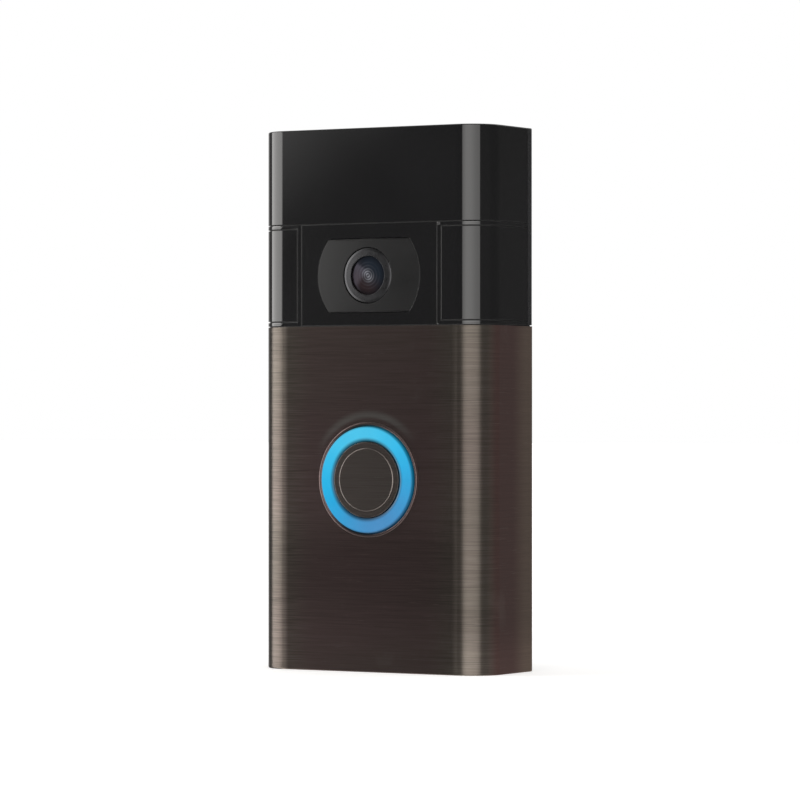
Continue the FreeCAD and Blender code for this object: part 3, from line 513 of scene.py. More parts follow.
def brushed_bronze(name):
    """Dark bronze, brushed level: the blur is narrow along the brush lines and wide across them."""
    m, t, p = new_mat(name)
    drift = t.noise(t.coords((14, 14, 30)), 1.0, 2.0, 0.5)
    drift2 = t.noise(t.coords((10, 10, 22), loc=(3.1, 7.7, 1.3)), 1.0, 2.0, 0.5)
    band = t.noise(t.coords((34, 34, 2600)), 1.0, 2.0, 0.5)
    hair = t.noise(t.coords((90, 90, 6500)), 1.0, 2.0, 0.6)
    long_ = t.noise(t.coords((7, 7, 1100), loc=(5, 2, 8)), 1.0, 2.0, 0.55)
    sep = t.add("ShaderNodeSeparateXYZ")
    t.l.new(t.coords((1000, 1000, 1000), loc=(0, 0, -Z_BTN)), sep.inputs[0])
    x, y, z = sep.outputs
    rr = t.math("SQRT", t.math("ADD", t.math("MULTIPLY", x, x), t.math("MULTIPLY", z, z)))
    # painted highlight: the base is paler and yellower along the two front corners, where the soft boxes are reflected
    side = t.math("MULTIPLY", t.ramp(t.math("ABSOLUTE", x), HW - R - 9.0, HW - R + 0.5), t.ramp(y, YF + 7.0, YF + 3.5))
    # painted shade: the side faces take a darker, redder tone; painted light: paler toward their rear edge
    painted_side_shade = t.ramp(y, YF + 2.5, YF + 7.5)
    painted_rear_edge_light = t.ramp(y, YF + 12.5, YF + 20.0)
    # painted highlight: the right front corner is up to 42 % brighter toward its foot
    foot = t.ramp(z, -32.0, -43.0)
    painted_low_right_highlight = t.math("MULTIPLY", t.ramp(x, HW - R - 2.0, HW - R + 2.0), foot)
    # painted shade: a band from about 6 to 38 mm below the button's centre is up to 22 % darker across the front,
    # fading out at the right corner
    painted_shade_below_button = t.math("MULTIPLY", t.math("MULTIPLY", t.ramp(z, -6.0, -17.0), t.ramp(z, -38.0, -24.0)), t.math("MINIMUM", t.ramp(x, HW - R + 1.0, HW - R - 1.5), t.ramp(x, -HW + R - 1.0, -HW + R + 1.5, 0.75, 1.0)))
    # painted highlight: the left front corner is made up to 95 % brighter
    painted_left_corner_highlight = t.math("MULTIPLY", t.ramp(x, -HW + R - 0.9, -HW + R + 0.1), t.ramp(x, -HW + R + 1.7, -HW + R + 0.3))
    tone = t.math("ADD", t.math("MULTIPLY", side, 0.75), t.ramp(drift, 0.40, 0.70, 0.0, 0.45), clamp=True)
    base = t.mix(tone, rgb(BRONZE_RED), rgb(BRONZE_GOLD))
    base = t.mix(painted_side_shade, base, t.mix(painted_rear_edge_light, rgb(BRONZE_SHADED_SIDE), rgb(BRONZE_LIT_REAR_EDGE)))
    base = t.mix(t.ramp(drift2, 0.3, 0.7, 0.0, 1.0), t.mix(1.0, base, rgb((0.90, 0.90, 0.90)), "MULTIPLY"), base)
    k = t.math("ADD", t.ramp(band, 0.25, 0.75, 0.95, 1.05, smooth=False), t.ramp(hair, 0.25, 0.75, -0.13, 0.13, smooth=False))
    k = t.math("ADD", k, t.ramp(long_, 0.3, 0.7, -0.03, 0.03, smooth=False))
    # painted highlight: brighter hairlines along the front corners, 2.2 times as strong on the left
    k = t.math("ADD", k, t.math("MULTIPLY", t.math("MULTIPLY", side, t.ramp(x, 5.0, -5.0, 1.0, 2.2)), t.ramp(hair, 0.35, 0.80, -0.10, 0.22, smooth=False)))
    # painted highlight low on the right corner and painted shade below the button scale the brightness here
    k = t.math("MULTIPLY", k, t.math("ADD", t.math("MULTIPLY", painted_low_right_highlight, 0.42), t.math("MULTIPLY_ADD", painted_shade_below_button, -0.22, 1.0)))
    # painted highlight at the left corner, and a little along both front corners, scales the brightness here
    k = t.math("MULTIPLY", k, t.math("MULTIPLY_ADD", painted_left_corner_highlight, 0.95, t.math("MULTIPLY_ADD", side, 0.10, 1.0)))
    kc = t.add("ShaderNodeCombineColor")
    for i in range(3):
        t.l.new(k, kc.inputs[i])
    col = t.mix(1.0, base, kc.outputs[0], "MULTIPLY")
    # rubbed patches and a few short bright hairs
    rub = t.ramp(t.noise(t.coords((60, 60, 60), loc=(2.2, 4.1, 0.7)), 1.0, 4.0, 0.62), 0.60, 0.74, 0.0, 0.10)
    nick = t.ramp(t.noise(t.coords((160, 160, 9000), loc=(7.7, 1.2, 3.3)), 1.0, 1.0, 0.5), 0.70, 0.78, 0.0, 0.30)
    col = t.mix(t.math("MAXIMUM", rub, nick), col, rgb((0.30, 0.26, 0.23)))
    # the button's face is made brighter and more olive than the plate
    button_face_tone = t.math("MULTIPLY", t.ramp(rr, 8.95, 8.85), t.ramp(y, YF + 1.0, YF + 0.2))
    col = t.mix(button_face_tone, col, t.mix(1.0, col, rgb((0.92, 0.76, 0.80)), "DIVIDE"))
    t.put(p, "Base Color", col)
    r = t.math("ADD", t.ramp(band, 0.3, 0.7, BRONZE_ROUGH - 0.006, BRONZE_ROUGH + 0.006), t.ramp(hair, 0.3, 0.7, -0.005, 0.005))
    r = t.math("ADD", r, t.ramp(t.math("ABSOLUTE", x), HW - R - 1.4, HW - R + 0.5, 0.0, BRONZE_CORNER), clamp=True)
    t.put(p, "Roughness", r)
    h = t.math("ADD", t.math("MULTIPLY", band, 0.4), hair)
    t.put(p, "Normal", t.bump(h, 0.0000014, 0.6))
    # painted glow: the lit ring's spill of light on the plate just outside it, and a faint painted highlight arc above
    # it, drawn as emission
    arc = t.math("MULTIPLY", t.ramp(rr, 13.9, 14.9), t.ramp(rr, 16.6, 15.0))
    up = t.ramp(t.math("DIVIDE", t.math("MULTIPLY_ADD", x, -0.10, z), rr), 0.45, 0.92)
    near = t.math("MULTIPLY", t.ramp(rr, 12.3, 12.7), t.ramp(rr, 14.2, 12.9, 0.0, 0.30))
    painted_ring_glow = t.math("ADD", t.math("MULTIPLY", t.math("MULTIPLY", arc, up), 1.0), near)
    painted_ring_glow = t.math("MULTIPLY", painted_ring_glow, t.math("MULTIPLY", t.ramp(y, YF + 1.0, YF + 0.3), k))
    t.put(p, "Emission Color", rgb((0.0215, 0.0265, 0.0245)))
    t.put(p, "Emission Strength", painted_ring_glow)
    p.inputs["Metallic"].default_value = 1.0
    p.inputs["Anisotropic"].default_value = BRONZE_ANISO
    p.inputs["Anisotropic Rotation"].default_value = 0.25
    tan = t.add("ShaderNodeTangent", direction_type="RADIAL", axis="Z")
    t.l.new(tan.outputs[0], p.inputs["Tangent"])
    return m


def light_pipe(name):
    """Lit ring: cyan above and to the left, a softer blue below; bright across its face, dim at both edges and down the walls."""
    m, t, p = new_mat(name)
    sep = t.add("ShaderNodeSeparateXYZ")
    t.l.new(t.coords((1000, 1000, 1000), loc=(0, 0, -Z_BTN)), sep.inputs[0])
    x, y, z = sep.outputs
    r = t.math("SQRT", t.math("ADD", t.math("MULTIPLY", x, x), t.math("MULTIPLY", z, z)))
    co, si = t.math("DIVIDE", x, r), t.math("DIVIDE", z, r)
    co2 = t.math("SUBTRACT", t.math("MULTIPLY", co, co), t.math("MULTIPLY", si, si))
    si2 = t.math("MULTIPLY", t.math("MULTIPLY", co, si), 2.0)
    col = None
    for f, c in ((co, RING_COS), (si, RING_SIN), (co2, RING_COS2), (si2, RING_SIN2)):
        nd = t.add("ShaderNodeVectorMath", operation="MULTIPLY_ADD")
        cb = t.add("ShaderNodeCombineXYZ")
        for i in range(3):
            t.l.new(f, cb.inputs[i])
        t.l.new(cb.outputs[0], nd.inputs[0])
        nd.inputs[1].default_value = c
        if col is None:
            nd.inputs[2].default_value = RING_MEAN
        else:
            t.l.new(col, nd.inputs[2])
        col = nd.outputs[0]
    # bright band, with the lamps behind it just showing
    band = t.math("MULTIPLY", t.ramp(r, 8.90, 10.05, 0.09, 1.0), t.ramp(r, 12.45, 11.90, 0.32, 1.0))
    depth = t.ramp(y, YF - 1.05 + 0.12, YF - 1.05 + 1.3, 1.0, 0.30)
    ang = t.math("ARCTAN2", z, x)
    lamps = t.math("MULTIPLY", t.math("COSINE", t.math("MULTIPLY", ang, 12.0)), -0.012)
    k = t.math("MULTIPLY", t.math("MULTIPLY", band, depth), t.math("ADD", lamps, 1.0))
    kk = t.add("ShaderNodeCombineXYZ")
    for i in range(3):
        t.l.new(k, kk.inputs[i])
    em = t.add("ShaderNodeVectorMath", operation="MULTIPLY")
    t.l.new(col, em.inputs[0])
    t.l.new(kk.outputs[0], em.inputs[1])
    speck = t.noise(t.coords(), 3000.0, 2.0, 0.5)
    t.put(p, "Base Color", t.mix(t.ramp(speck, 0.4, 0.7), rgb((0.003, 0.012, 0.020)), rgb((0.004, 0.016, 0.026))))
    t.put(p, "Emission Color", em.outputs[0])
    p.inputs["Emission Strength"].default_value = 1.0
    t.put(p, "Roughness", t.ramp(speck, 0.3, 0.7, 0.28, 0.36))
    t.put(p, "Normal", t.bump(speck, 0.0000012, 0.3))
    p.inputs["IOR"].default_value = 1.49
    p.inputs["Specular IOR Level"].default_value = 0.25
    return m


def satin(name, base):
    m, t, p = new_mat(name)
    big = t.noise(t.coords(), 90.0, 2.0, 0.5)
    fine = t.noise(t.coords(), 5200.0, 2.0, 0.6)
    t.put(p, "Base Color", t.mix(t.ramp(big, 0.3, 0.7), rgb(scaled(base, 0.93)), rgb(scaled(base, 1.07))))
    t.put(p, "Roughness", t.math("ADD", t.ramp(fine, 0.3, 0.7, 0.29, 0.37), t.ramp(big, 0.3, 0.7, -0.03, 0.03)))
    t.put(p, "Normal", t.bump(fine, 0.000002, 0.5))
    p.inputs["IOR"].default_value = 1.5
    p.inputs["Specular IOR Level"].default_value = 0.14
    return m


def coated_glass(name):
    """Dark coated glass: painted reflections of the inner elements show as faint bright rings about the lens axis; a
    painted purple-to-blue coating reflection runs across it, and it is darker toward the rim.
    """
    m, t, p = new_mat(name)
    sep = t.add("ShaderNodeSeparateXYZ")
    t.l.new(t.coords((1000, 1000, 1000), loc=(0, 0, -Z_CAM)), sep.inputs[0])
    x, z = sep.outputs[0], sep.outputs[2]
    r = t.math("SQRT", t.math("ADD", t.math("MULTIPLY", x, x), t.math("MULTIPLY", z, z)))
    wob = t.math("MULTIPLY", t.noise(t.coords(), 900.0, 2.0, 0.5), 0.10)
    rw = t.math("ADD", r, wob)
    # painted reflection: purple toward the lower left, blue toward the upper right
    side = t.math("ADD", t.math("MULTIPLY", x, 0.10), t.math("MULTIPLY", z, 0.12))
    col = t.mix(t.ramp(side, -0.45, 0.40), rgb((0.0150, 0.0100, 0.0108)), rgb((0.0080, 0.0110, 0.0160)))
    col = t.mix(t.ramp(r, 3.0, 4.3, 0.0, 0.55), col, rgb((0.0040, 0.0044, 0.0056)))

    def ring(at, width, level):
        u = t.math("MULTIPLY", t.ramp(rw, at - width, at), t.ramp(rw, at + width, at))
        return t.math("MULTIPLY", u, level)
    # painted reflections: bright rings about the axis and a brighter centre, strongest toward the upper left and lower
    # right
    lit = ring(0.45, 0.24, 1.6)
    for at, width, level in ((1.02, 0.24, 1.15), (1.58, 0.24, 0.60), (2.35, 0.25, 0.20), (3.10, 0.22, 0.10)):
        lit = t.math("ADD", lit, ring(at, width, level))
    lit = t.math("ADD", lit, t.ramp(r, 2.4, 0.0, 0.0, 0.40))
    ang = t.math("ARCTAN2", z, x)
    lit = t.math("MULTIPLY", lit, t.math("ADD", t.math("MULTIPLY", t.math("COSINE", t.math("MULTIPLY", t.math("SUBTRACT", ang, 2.2), 2.0)), 0.35), 0.75))
    col = t.mix(t.math("MULTIPLY", lit, 0.55, clamp=True), col, rgb((0.150, 0.155, 0.175)))
    t.put(p, "Base Color", col)
    dust = t.noise(t.coords(), 5200.0, 2.0, 0.6)
    t.put(p, "Roughness", t.ramp(dust, 0.62, 0.80, 0.02, 0.09))
    t.put(p, "Normal", t.bump(dust, 0.0000003, 0.3))
    p.inputs["IOR"].default_value = 1.5
    p.inputs["Specular IOR Level"].default_value = 0.07
    p.inputs["Specular Tint"].default_value = (0.82, 0.76, 1.0, 1.0)
    p.inputs["Transmission Weight"].default_value = 0.12
    return m


def board(name, base):
    """Solder mask over copper tracks, with pads and printed-through weave."""
    m, t, p = new_mat(name)
    v = t.coords((1000, 1000, 1000))
    tracks = t.voronoi(t.coords((0.22 * 1000, 1, 0.22 * 1000)), 1.0, "DISTANCE_TO_EDGE", 0, 0.35)
    tracks2 = t.voronoi(t.coords((0.75 * 1000, 1, 0.75 * 1000), loc=(3, 0, 7)), 1.0, "DISTANCE_TO_EDGE", 0, 0.15)
    line = t.math("MAXIMUM", t.ramp(tracks, 0.10, 0.06), t.ramp(tracks2, 0.09, 0.05, 0.0, 0.7))
    pads = t.ramp(t.voronoi(t.coords((0.6 * 1000, 1, 0.6 * 1000), loc=(1, 0, 2)), 1.0, "F1", 0, 0.6), 0.16, 0.12)
    weave = t.noise(v, 4.0, 2.0)
    col = t.mix(t.ramp(weave, 0.3, 0.7), rgb(scaled(base, 0.8)), rgb(scaled(base, 1.15)))
    col = t.mix(t.math("MULTIPLY", line, 0.55), col, rgb(scaled(base, 1.9)))
    col = t.mix(pads, col, rgb((0.72, 0.60, 0.36)))
    t.put(p, "Base Color", col)
    t.put(p, "Metallic", t.math("MULTIPLY", pads, 0.9))
    t.put(p, "Roughness", t.math("ADD", t.ramp(weave, 0.3, 0.7, 0.28, 0.38), t.math("MULTIPLY", pads, 0.12)))
    t.put(p, "Normal", t.bump(t.math("ADD", line, t.math("MULTIPLY", weave, 0.3)), 0.00002, 0.8))
    return m


def led(name, base, glow=0.0):
    m, t, p = new_mat(name)
    n = t.noise(t.coords(), 1500.0, 2.0, 0.5)
    t.put(p, "Base Color", t.mix(t.ramp(n, 0.3, 0.7), rgb(scaled(base, 0.85)), rgb(scaled(base, 1.1))))
    t.put(p, "Roughness", t.ramp(n, 0.3, 0.7, 0.12, 0.24))
    t.put(p, "Normal", t.bump(n, 0.000004, 0.5))
    p.inputs["Subsurface Weight"].default_value = 0.25
    p.inputs["Subsurface Radius"].default_value = (0.0006, 0.0006, 0.0006)
    if glow:
        t.put(p, "Emission Color", t.mix(t.ramp(n, 0.3, 0.7), rgb((0.5, 0.78, 1.0)), rgb((0.62, 0.85, 1.0))))
        p.inputs["Emission Strength"].default_value = glow
    return m


BRONZE_RED = (0.134, 0.096, 0.094)
BRONZE_GOLD = (0.126, 0.110, 0.095)
# painted shade of the bronze side faces, and painted light toward their rear edge
BRONZE_SHADED_SIDE = (0.106, 0.056, 0.050)
BRONZE_LIT_REAR_EDGE = (0.172, 0.122, 0.095)
BRONZE_ROUGH = 0.288     # on the flats; the corners are brushed more openly
BRONZE_CORNER = 0.16
BRONZE_ANISO = 0.99
# colour of the lit ring round its axis: mean, and what goes with the cosine and sine of the angle and of its double
RING_MEAN = (0.023, 0.377, 0.668)
RING_COS = (0.0067, -0.0374, -0.0396)
RING_SIN = (0.0013, 0.1320, 0.1294)
RING_COS2 = (-0.0189, 0.0048, 0.0300)
RING_SIN2 = (-0.0121, 0.0079, 0.0225)

MATERIAL = {
    "bracket_plastic": moulded("bracket_plastic", (0.030, 0.030, 0.032), 0.48, grain=0.45, bump=0.00003, fleck=0.15),
    "housing_black": moulded("housing_black", (0.010, 0.010, 0.011), 0.32, grain=0.35, bump=0.000012, spread=0.06, fleck=0.1, edge=0.15),
    "frame_plastic": moulded("frame_plastic", (0.045, 0.045, 0.047), 0.5, grain=0.4, bump=0.00002),
    "barrel_black": moulded("barrel_black", (0.010, 0.010, 0.010), 0.7, grain=0.15, bump=0.000008, edge=0.1),
    "speaker_black": moulded("speaker_black", (0.025, 0.025, 0.027), 0.45, grain=0.3),
    "chip_black": moulded("chip_black", (0.030, 0.030, 0.032), 0.55, grain=0.12, bump=0.000008, fleck=0.2),
    "pir_white": moulded("pir_white", (0.70, 0.70, 0.67), 0.38, grain=0.5, bump=0.00001, var=0.06, edge=0.0),
    "connector_white": moulded("connector_white", (0.76, 0.74, 0.68), 0.42, grain=0.3, bump=0.00001, var=0.06, edge=0.1),
    "seal_rubber": moulded("seal_rubber", (0.045, 0.045, 0.047), 0.75, grain=0.2, bump=0.00001, var=0.25, edge=0.1),
    "button_rubber": moulded("button_rubber", (0.150, 0.150, 0.160), 0.7, grain=0.2, bump=0.00001, var=0.15, edge=0.2),
    "tape_black": moulded("tape_black", (0.030, 0.030, 0.030), 0.85, grain=0.25, bump=0.00005, var=0.3, edge=0.0),
    "lead_red": moulded("lead_red", (0.42, 0.025, 0.022), 0.45, grain=0.3, bump=0.000006, var=0.12, edge=0.0),
    "flex_amber": moulded("flex_amber", (0.50, 0.24, 0.045), 0.28, grain=0.6, bump=0.000006, var=0.15, edge=0.0),
    "sensor_dark": moulded("sensor_dark", (0.020, 0.022, 0.045), 0.12, grain=0.05, bump=0.000001, spread=0.04, edge=0.1),
    "screw_black": metal("screw_black", (0.075, 0.074, 0.076), 0.36, tarnish=(0.05, 0.048, 0.046)),
    "screw_steel": metal("screw_steel", (0.58, 0.57, 0.55), 0.28, tarnish=(0.40, 0.38, 0.34)),
    "terminal_brass": metal("terminal_brass", (0.66, 0.60, 0.48), 0.26, tarnish=(0.46, 0.38, 0.24)),
    "shield_tin": metal("shield_tin", (0.60, 0.60, 0.58), 0.32, lines=(8, 30, 60), tarnish=(0.44, 0.43, 0.40)),
    "battery_foil": metal("battery_foil", (0.46, 0.47, 0.49), 0.34, lines=(10, 10, 10), bump=0.00004, tarnish=(0.36, 0.37, 0.40)),
    "lens_metal": metal("lens_metal", (0.040, 0.040, 0.042), 0.27, lines=(9, 9, 9), bump=0.0000006, spread=0.02, var=0.05, wear=0.0),
    "gloss_black": gloss_black("gloss_black", (0.0045, 0.0045, 0.0048)),
    "satin_black": satin("satin_black", (0.0078, 0.0078, 0.0080)),
    "bronze": brushed_bronze("bronze"),
    "light_pipe": light_pipe("light_pipe"),
    "coated_glass": coated_glass("coated_glass"),
    "filter_glass": led("filter_glass", (0.10, 0.02, 0.07)),
    "led_white": led("led_white", (0.80, 0.82, 0.80), 1.5),
    "led_clear": led("led_clear", (0.32, 0.26, 0.34)),
    "board_green": board("board_green", (0.012, 0.085, 0.036)),
}
RECESS = moulded("recess_black", (0.016, 0.016, 0.016), 0.85, grain=0.2, bump=0.000004, spread=0.05, edge=0.0)
for node, ob in NODES.items():
    ob.data.materials.clear()
    ob.data.materials.append(MATERIAL[SLOT[node]])


# ------------------------------------------------------------------ faceplate
def build_faceplate():
    o = prism_z("brushed_faceplate", case_outline(0, FP1[1]), FP0[2], FP1[2])
    cut(o, prism_z("t", case_outline(WALL_FP, FP1[1] + 1), FP0[2] + WALL_FP, FP1[2] + 1))
    collar = filleted([(HOLE_R - 0.6, YF - COLLAR_H), (COLLAR_R, YF - COLLAR_H), (COLLAR_R, YF + 0.6), (HOLE_R - 0.6, YF + 0.6)], [0, 0.22, 0, 0], 6)
    join(o, lathe("t", 0, Z_BTN, collar, 192))
    bore = [(0, YF - 2), (HOLE_R + 0.5, YF - 2), (HOLE_R + 0.5, YF - COLLAR_H - 0.001)]
    bore += [(HOLE_R + 0.36 * (1 - math.sin(w * math.pi / 16)), YF - COLLAR_H + 0.36 * (1 - math.cos(w * math.pi / 16))) for w in range(9)]
    bore += [(HOLE_R, YF + 3), (0, YF + 3)]
    cut(o, lathe("t", 0, Z_BTN, bore, 192))
    for x in (-8.0, -4.8, -1.6, 1.6, 4.8, 8.0):
        slot = filleted([(x - 0.65, ly(10.0)), (x + 0.65, ly(10.0)), (x + 0.65, ly(18.6)), (x - 0.65, ly(18.6))], 0.62, 6)
        cut(o, prism_z("t", slot, FP0[2] - 1, FP0[2] + WALL_FP + 0.5))
    mic = [(16.5 + 0.7 * math.cos(2 * math.pi * k / 32), ly(5.4) + 0.7 * math.sin(2 * math.pi * k / 32)) for k in range(32)]
    cut(o, prism_z("t", mic, FP0[2] - 1, FP0[2] + 3))
    for z in (14.0, 52.0):
        for sx in (-1, 1):
            x0, x1 = sorted((sx * 27.45, sx * (HW - WALL_FP + 0.1)))
            join(o, block("t", x0, x1, ly(15.2), ly(16.8), FP0[2] + z - 3.8, FP0[2] + z + 3.8))
    clean(o)

    def rule(m, convex, ang):
        if math.hypot(m.x, m.z - Z_BTN) < COLLAR_R + 0.3 and m.y < YF + 2:
            return 0.0
        if ang < 25 or not convex:
            return 0.0
        outer = m.y < YF + 0.02 or abs(m.x) > HW - 0.02 or math.hypot(abs(m.x) - (HW - R), m.y - (YF + R)) > R - 0.05
        if abs(m.z - FP0[2]) < 0.01:
            return 0.30 if outer else 0.10
        if abs(m.z - FP1[2]) < 0.01:
            return 0.07 if outer else 0.05
        if abs(m.y - FP1[1]) < 0.01:
            return 0.10
        return 0.0
    bevel(o, rule, 0.5, 4)
    return done(o, "faceplate")


# ------------------------------------------------------------------ top cover
def build_top_cover():
    o = prism_z("gloss_top_cover", case_outline(0, TC1[1]), TC0[2], TC1[2])
    cut(o, prism_z("t", case_outline(WALL_TC, TC1[1] + 1), TC0[2] - 1, TC1[2] - WALL_TC))
    for x in (-18.0, 0.0, 18.0):
        join(o, block("t", x - 1.5, x + 1.5, ly(11.0), ly(17.0), TC1[2] - 3.1, TC1[2] - WALL_TC + 0.1))
    clean(o)

    def rule(m, convex, ang):
        if ang < 25 or not convex:
            return 0.0
        outer = m.y < YF + 0.02 or abs(m.x) > HW - 0.02 or math.hypot(abs(m.x) - (HW - R), m.y - (YF + R)) > R - 0.05
        if not outer:
            return 0.08
        if abs(m.z - TC1[2]) < 0.01:
            return 0.30 if m.y < TC1[1] - 0.01 or abs(m.x) > HW - 0.02 else 0.12
        return 0.05
    bevel(o, rule, 0.5, 4)
    return done(o, "top_cover")


# ------------------------------------------------------------------ camera band
def clipped_disc(name, r, half_h, y0, y1, seg=192, corner=0.0):
    a1 = math.asin(half_h / r)
    n = seg // 4
    right = [(r * math.cos(a1 * (2 * k / n - 1)), Z_CAM + r * math.sin(a1 * (2 * k / n - 1))) for k in range(n + 1)]
    left = [(-x, 2 * Z_CAM - z) for x, z in right]
    pts = right + left
    if corner:
        radii = [corner if i in (0, n, n + 1, 2 * n + 1) else 0 for i in range(len(pts))]
        pts = pts
    return prism_y(name, pts, y0, y1)


def build_bezel():
    yb = BZ1[1]
    gap, border, trim_x, win_x = 0.12, 1.1, -LP1[0], CW1[0]
    zb0, zb1 = BZ0[2] + 2 * gap, BZ1[2] - 2 * gap

    def shell(a, b, z0, z1):
        s = prism_z("t", case_outline(a, yb), z0, z1)
        return cut(s, prism_z("t", case_outline(b, yb + 1), z0 - 1, z1 + 1))
    o = shell(1.6, 2.9, zb0, zb1)
    o.name = "gloss_camera_bezel"
    join(o, shell(0, 2.9, zb0, zb0 + border - PANEL_GAP))
    join(o, shell(0, 2.9, zb1 - border + PANEL_GAP, zb1))
    rib = shell(0, 2.9, zb0, zb1)
    common(rib, block("t", -trim_x + gap, trim_x - gap, -40, YF + 2.9, zb0 - 1, zb1 + 1))
    join(o, rib)
    # rebates behind the panels' grooves
    join(o, shell(GROOVE, 2.9, zb0 + 0.05, zb0 + border))
    join(o, shell(GROOVE, 2.9, zb1 - border, zb1 - 0.05))
    cut(o, block("t", -win_x - gap, win_x + gap, -40, YF + 2.0, zb0 - 1, zb1 + 1))
    # lands behind the two parting lines
    join(o, shell(GROOVE, 2.9, BZ0[2], zb0 + 0.0))
    join(o, shell(GROOVE, 2.9, zb1 - 0.0, BZ1[2]))
    cut(o, clipped_disc("t", DOME_R + 0.5, DOME_H + 0.5, YF - 1, YF + 6))
    clean(o)

    def rule(m, convex, ang):
        if ang < 25 or not convex:
            return 0.0
        outer = m.y < YF + 0.02 or abs(m.x) > HW - 0.02 or math.hypot(abs(m.x) - (HW - R), m.y - (YF + R)) > R - 0.05
        return 0.04 if outer else 0.0
    bevel(o, rule, 0.5, 3)
    done(o, "camera_bezel")
    # floors and walls of the parting lines and panel grooves, behind the polished faces
    o.data.materials.append(RECESS)
    for f in o.data.polygons:
        c = f.center * 1000
        cx, cy = abs(c.x), c.y
        if cx > HW - R and cy < YF + R:
            d = R - math.hypot(cx - (HW - R), cy - (YF + R))
        else:
            d = min(HW - cx, cy - YF)
        groove = c.z < zb0 + border + 0.02 or c.z > zb1 - border - 0.02
        flat = abs(f.normal.z) > 0.7
        if groove and 0.10 < d < 2.5 and (d > 0.35 or flat):
            f.material_index = 1
        if win_x < cx < trim_x and d > 0.10 and cy < YF + 2.2:
            f.material_index = 1
    return o


def build_side_panel(node, name, lo, hi, side):
    o = prism_z(name, case_outline(0, hi[1]), lo[2], hi[2])
    cut(o, prism_z("t", case_outline(1.45, hi[1] + 1), lo[2] - 1, hi[2] + 1))
    if side > 0:
        common(o, block("t", lo[0], 40, -40, 40, 0, 200))
    else:
        common(o, block("t", -40, hi[0], -40, 40, 0, 200))
    clean(o)

    def rule(m, convex, ang):
        if ang < 25 or not convex:
            return 0.0
        outer = m.y < YF + 0.02 or abs(m.x) > HW - 0.02 or math.hypot(abs(m.x) - (HW - R), m.y - (YF + R)) > R - 0.05
        if not outer:
            return 0.05
        if abs(m.z - lo[2]) < 0.01 or abs(m.z - hi[2]) < 0.01:
            return 0.025
        return 0.09
    bevel(o, rule, 0.5, 4)
    return done(o, node)


def build_window():
    o = block("gloss_camera_window", CW0[0], CW1[0], CW0[1], CW1[1], CW0[2], CW1[2])
    cut(o, clipped_disc("t", DOME_R + 0.06, DOME_H + 0.06, YF - 1, YF + 4))
    clean(o)

    def rule(m, convex, ang):
        if ang < 25:
            return 0.0
        if abs(m.y - CW0[1]) < 0.01:
            return 0.06 if abs(m.x) < CW1[0] - 0.1 and abs(m.z - Z_CAM) < 9 else 0.10
        return 0.0
    bevel(o, rule, 0.5, 4)
    return done(o, "camera_window")


def build_surround():
    """Shallow dome round the lens, cut flat above and below, with softened edges."""
    hole = 6.55
    top = LR0[1] + 0.08                       # the dome meets the lens ring's face
    up = YF - top
    sr = (DOME_R ** 2 - hole ** 2) / (2 * up)
    c = YF + math.sqrt(sr ** 2 - DOME_R ** 2)
    n = 28
    a0, a1 = math.asin(DOME_R / sr), math.asin(hole / sr)
    arc = [(sr * math.sin(a0 + (a1 - a0) * i / n), c - sr * math.cos(a0 + (a1 - a0) * i / n)) for i in range(n + 1)]
    prof = arc + [(hole, CR1[1]), (DOME_R, CR1[1])]
    o = lathe("camera_dome", 0, Z_CAM, prof, 256)
    common(o, block("t", -20, 20, -20, 20, CR0[2], CR1[2]))
    clean(o)

    def rule(m, convex, ang):
        r = math.hypot(m.x, m.z - Z_CAM)
        if ang < 25 or m.y > YF + 0.05:
            return 0.0
        if r < hole + 0.1:
            return 0.05
        if abs(abs(m.z - Z_CAM) - DOME_H) < 0.02:
            return 0.55
        return 0.10
    bevel(o, rule, 0.5, 5)
    return done(o, "camera_surround")


def build_lens():
    yr = LR0[1] + 0.08
    ro, ri, back = LR1[0], 4.5, LR1[1]
    prof = [(4.62, yr - 0.08), (5.80, yr - 0.02), (6.30, yr + 0.07), (ro, yr + 0.22), (ro, back), (5.0, back), (5.0, ly(0.9)), (ri, ly(0.9)), (ri, yr + 0.05)]
    prof = supported(filleted(prof, [0.07, 0.8, 0.35, 0.07, 0.05, 0.05, 0.04, 0.04, 0.09], 6))
    o = lathe("lens_trim_ring", 0, Z_CAM, prof, 192)
    done(o, "lens_ring")
    # front element: domed outside, hollow inside
    ya, yr2 = GL0[1], ly(0.02)
    rr = 4.46
    h = yr2 - ya
    sr = (rr * rr + h * h) / (2 * h)
    c = ya + sr
    n = 24
    front = [(sr * math.sin(math.asin(rr / sr) * i / n), c - sr * math.cos(math.asin(rr / sr) * i / n)) for i in range(n + 1)]
    r2, yb, yb0 = 3.9, GL1[1], GL1[1] - 0.95
    h2 = yb - yb0
    sr2 = (r2 * r2 + h2 * h2) / (2 * h2)
    c2 = yb0 + sr2
    back = [(sr2 * math.sin(math.asin(r2 / sr2) * i / n), c2 - sr2 * math.cos(math.asin(r2 / sr2) * i / n)) for i in range(n, -1, -1)]
    prof = front + [(rr, ly(0.9)), (4.9, ly(0.9)), (4.9, yb)] + back
    o = lathe("lens_front_element", 0, Z_CAM, prof, 192)
    done(o, "front_lens")


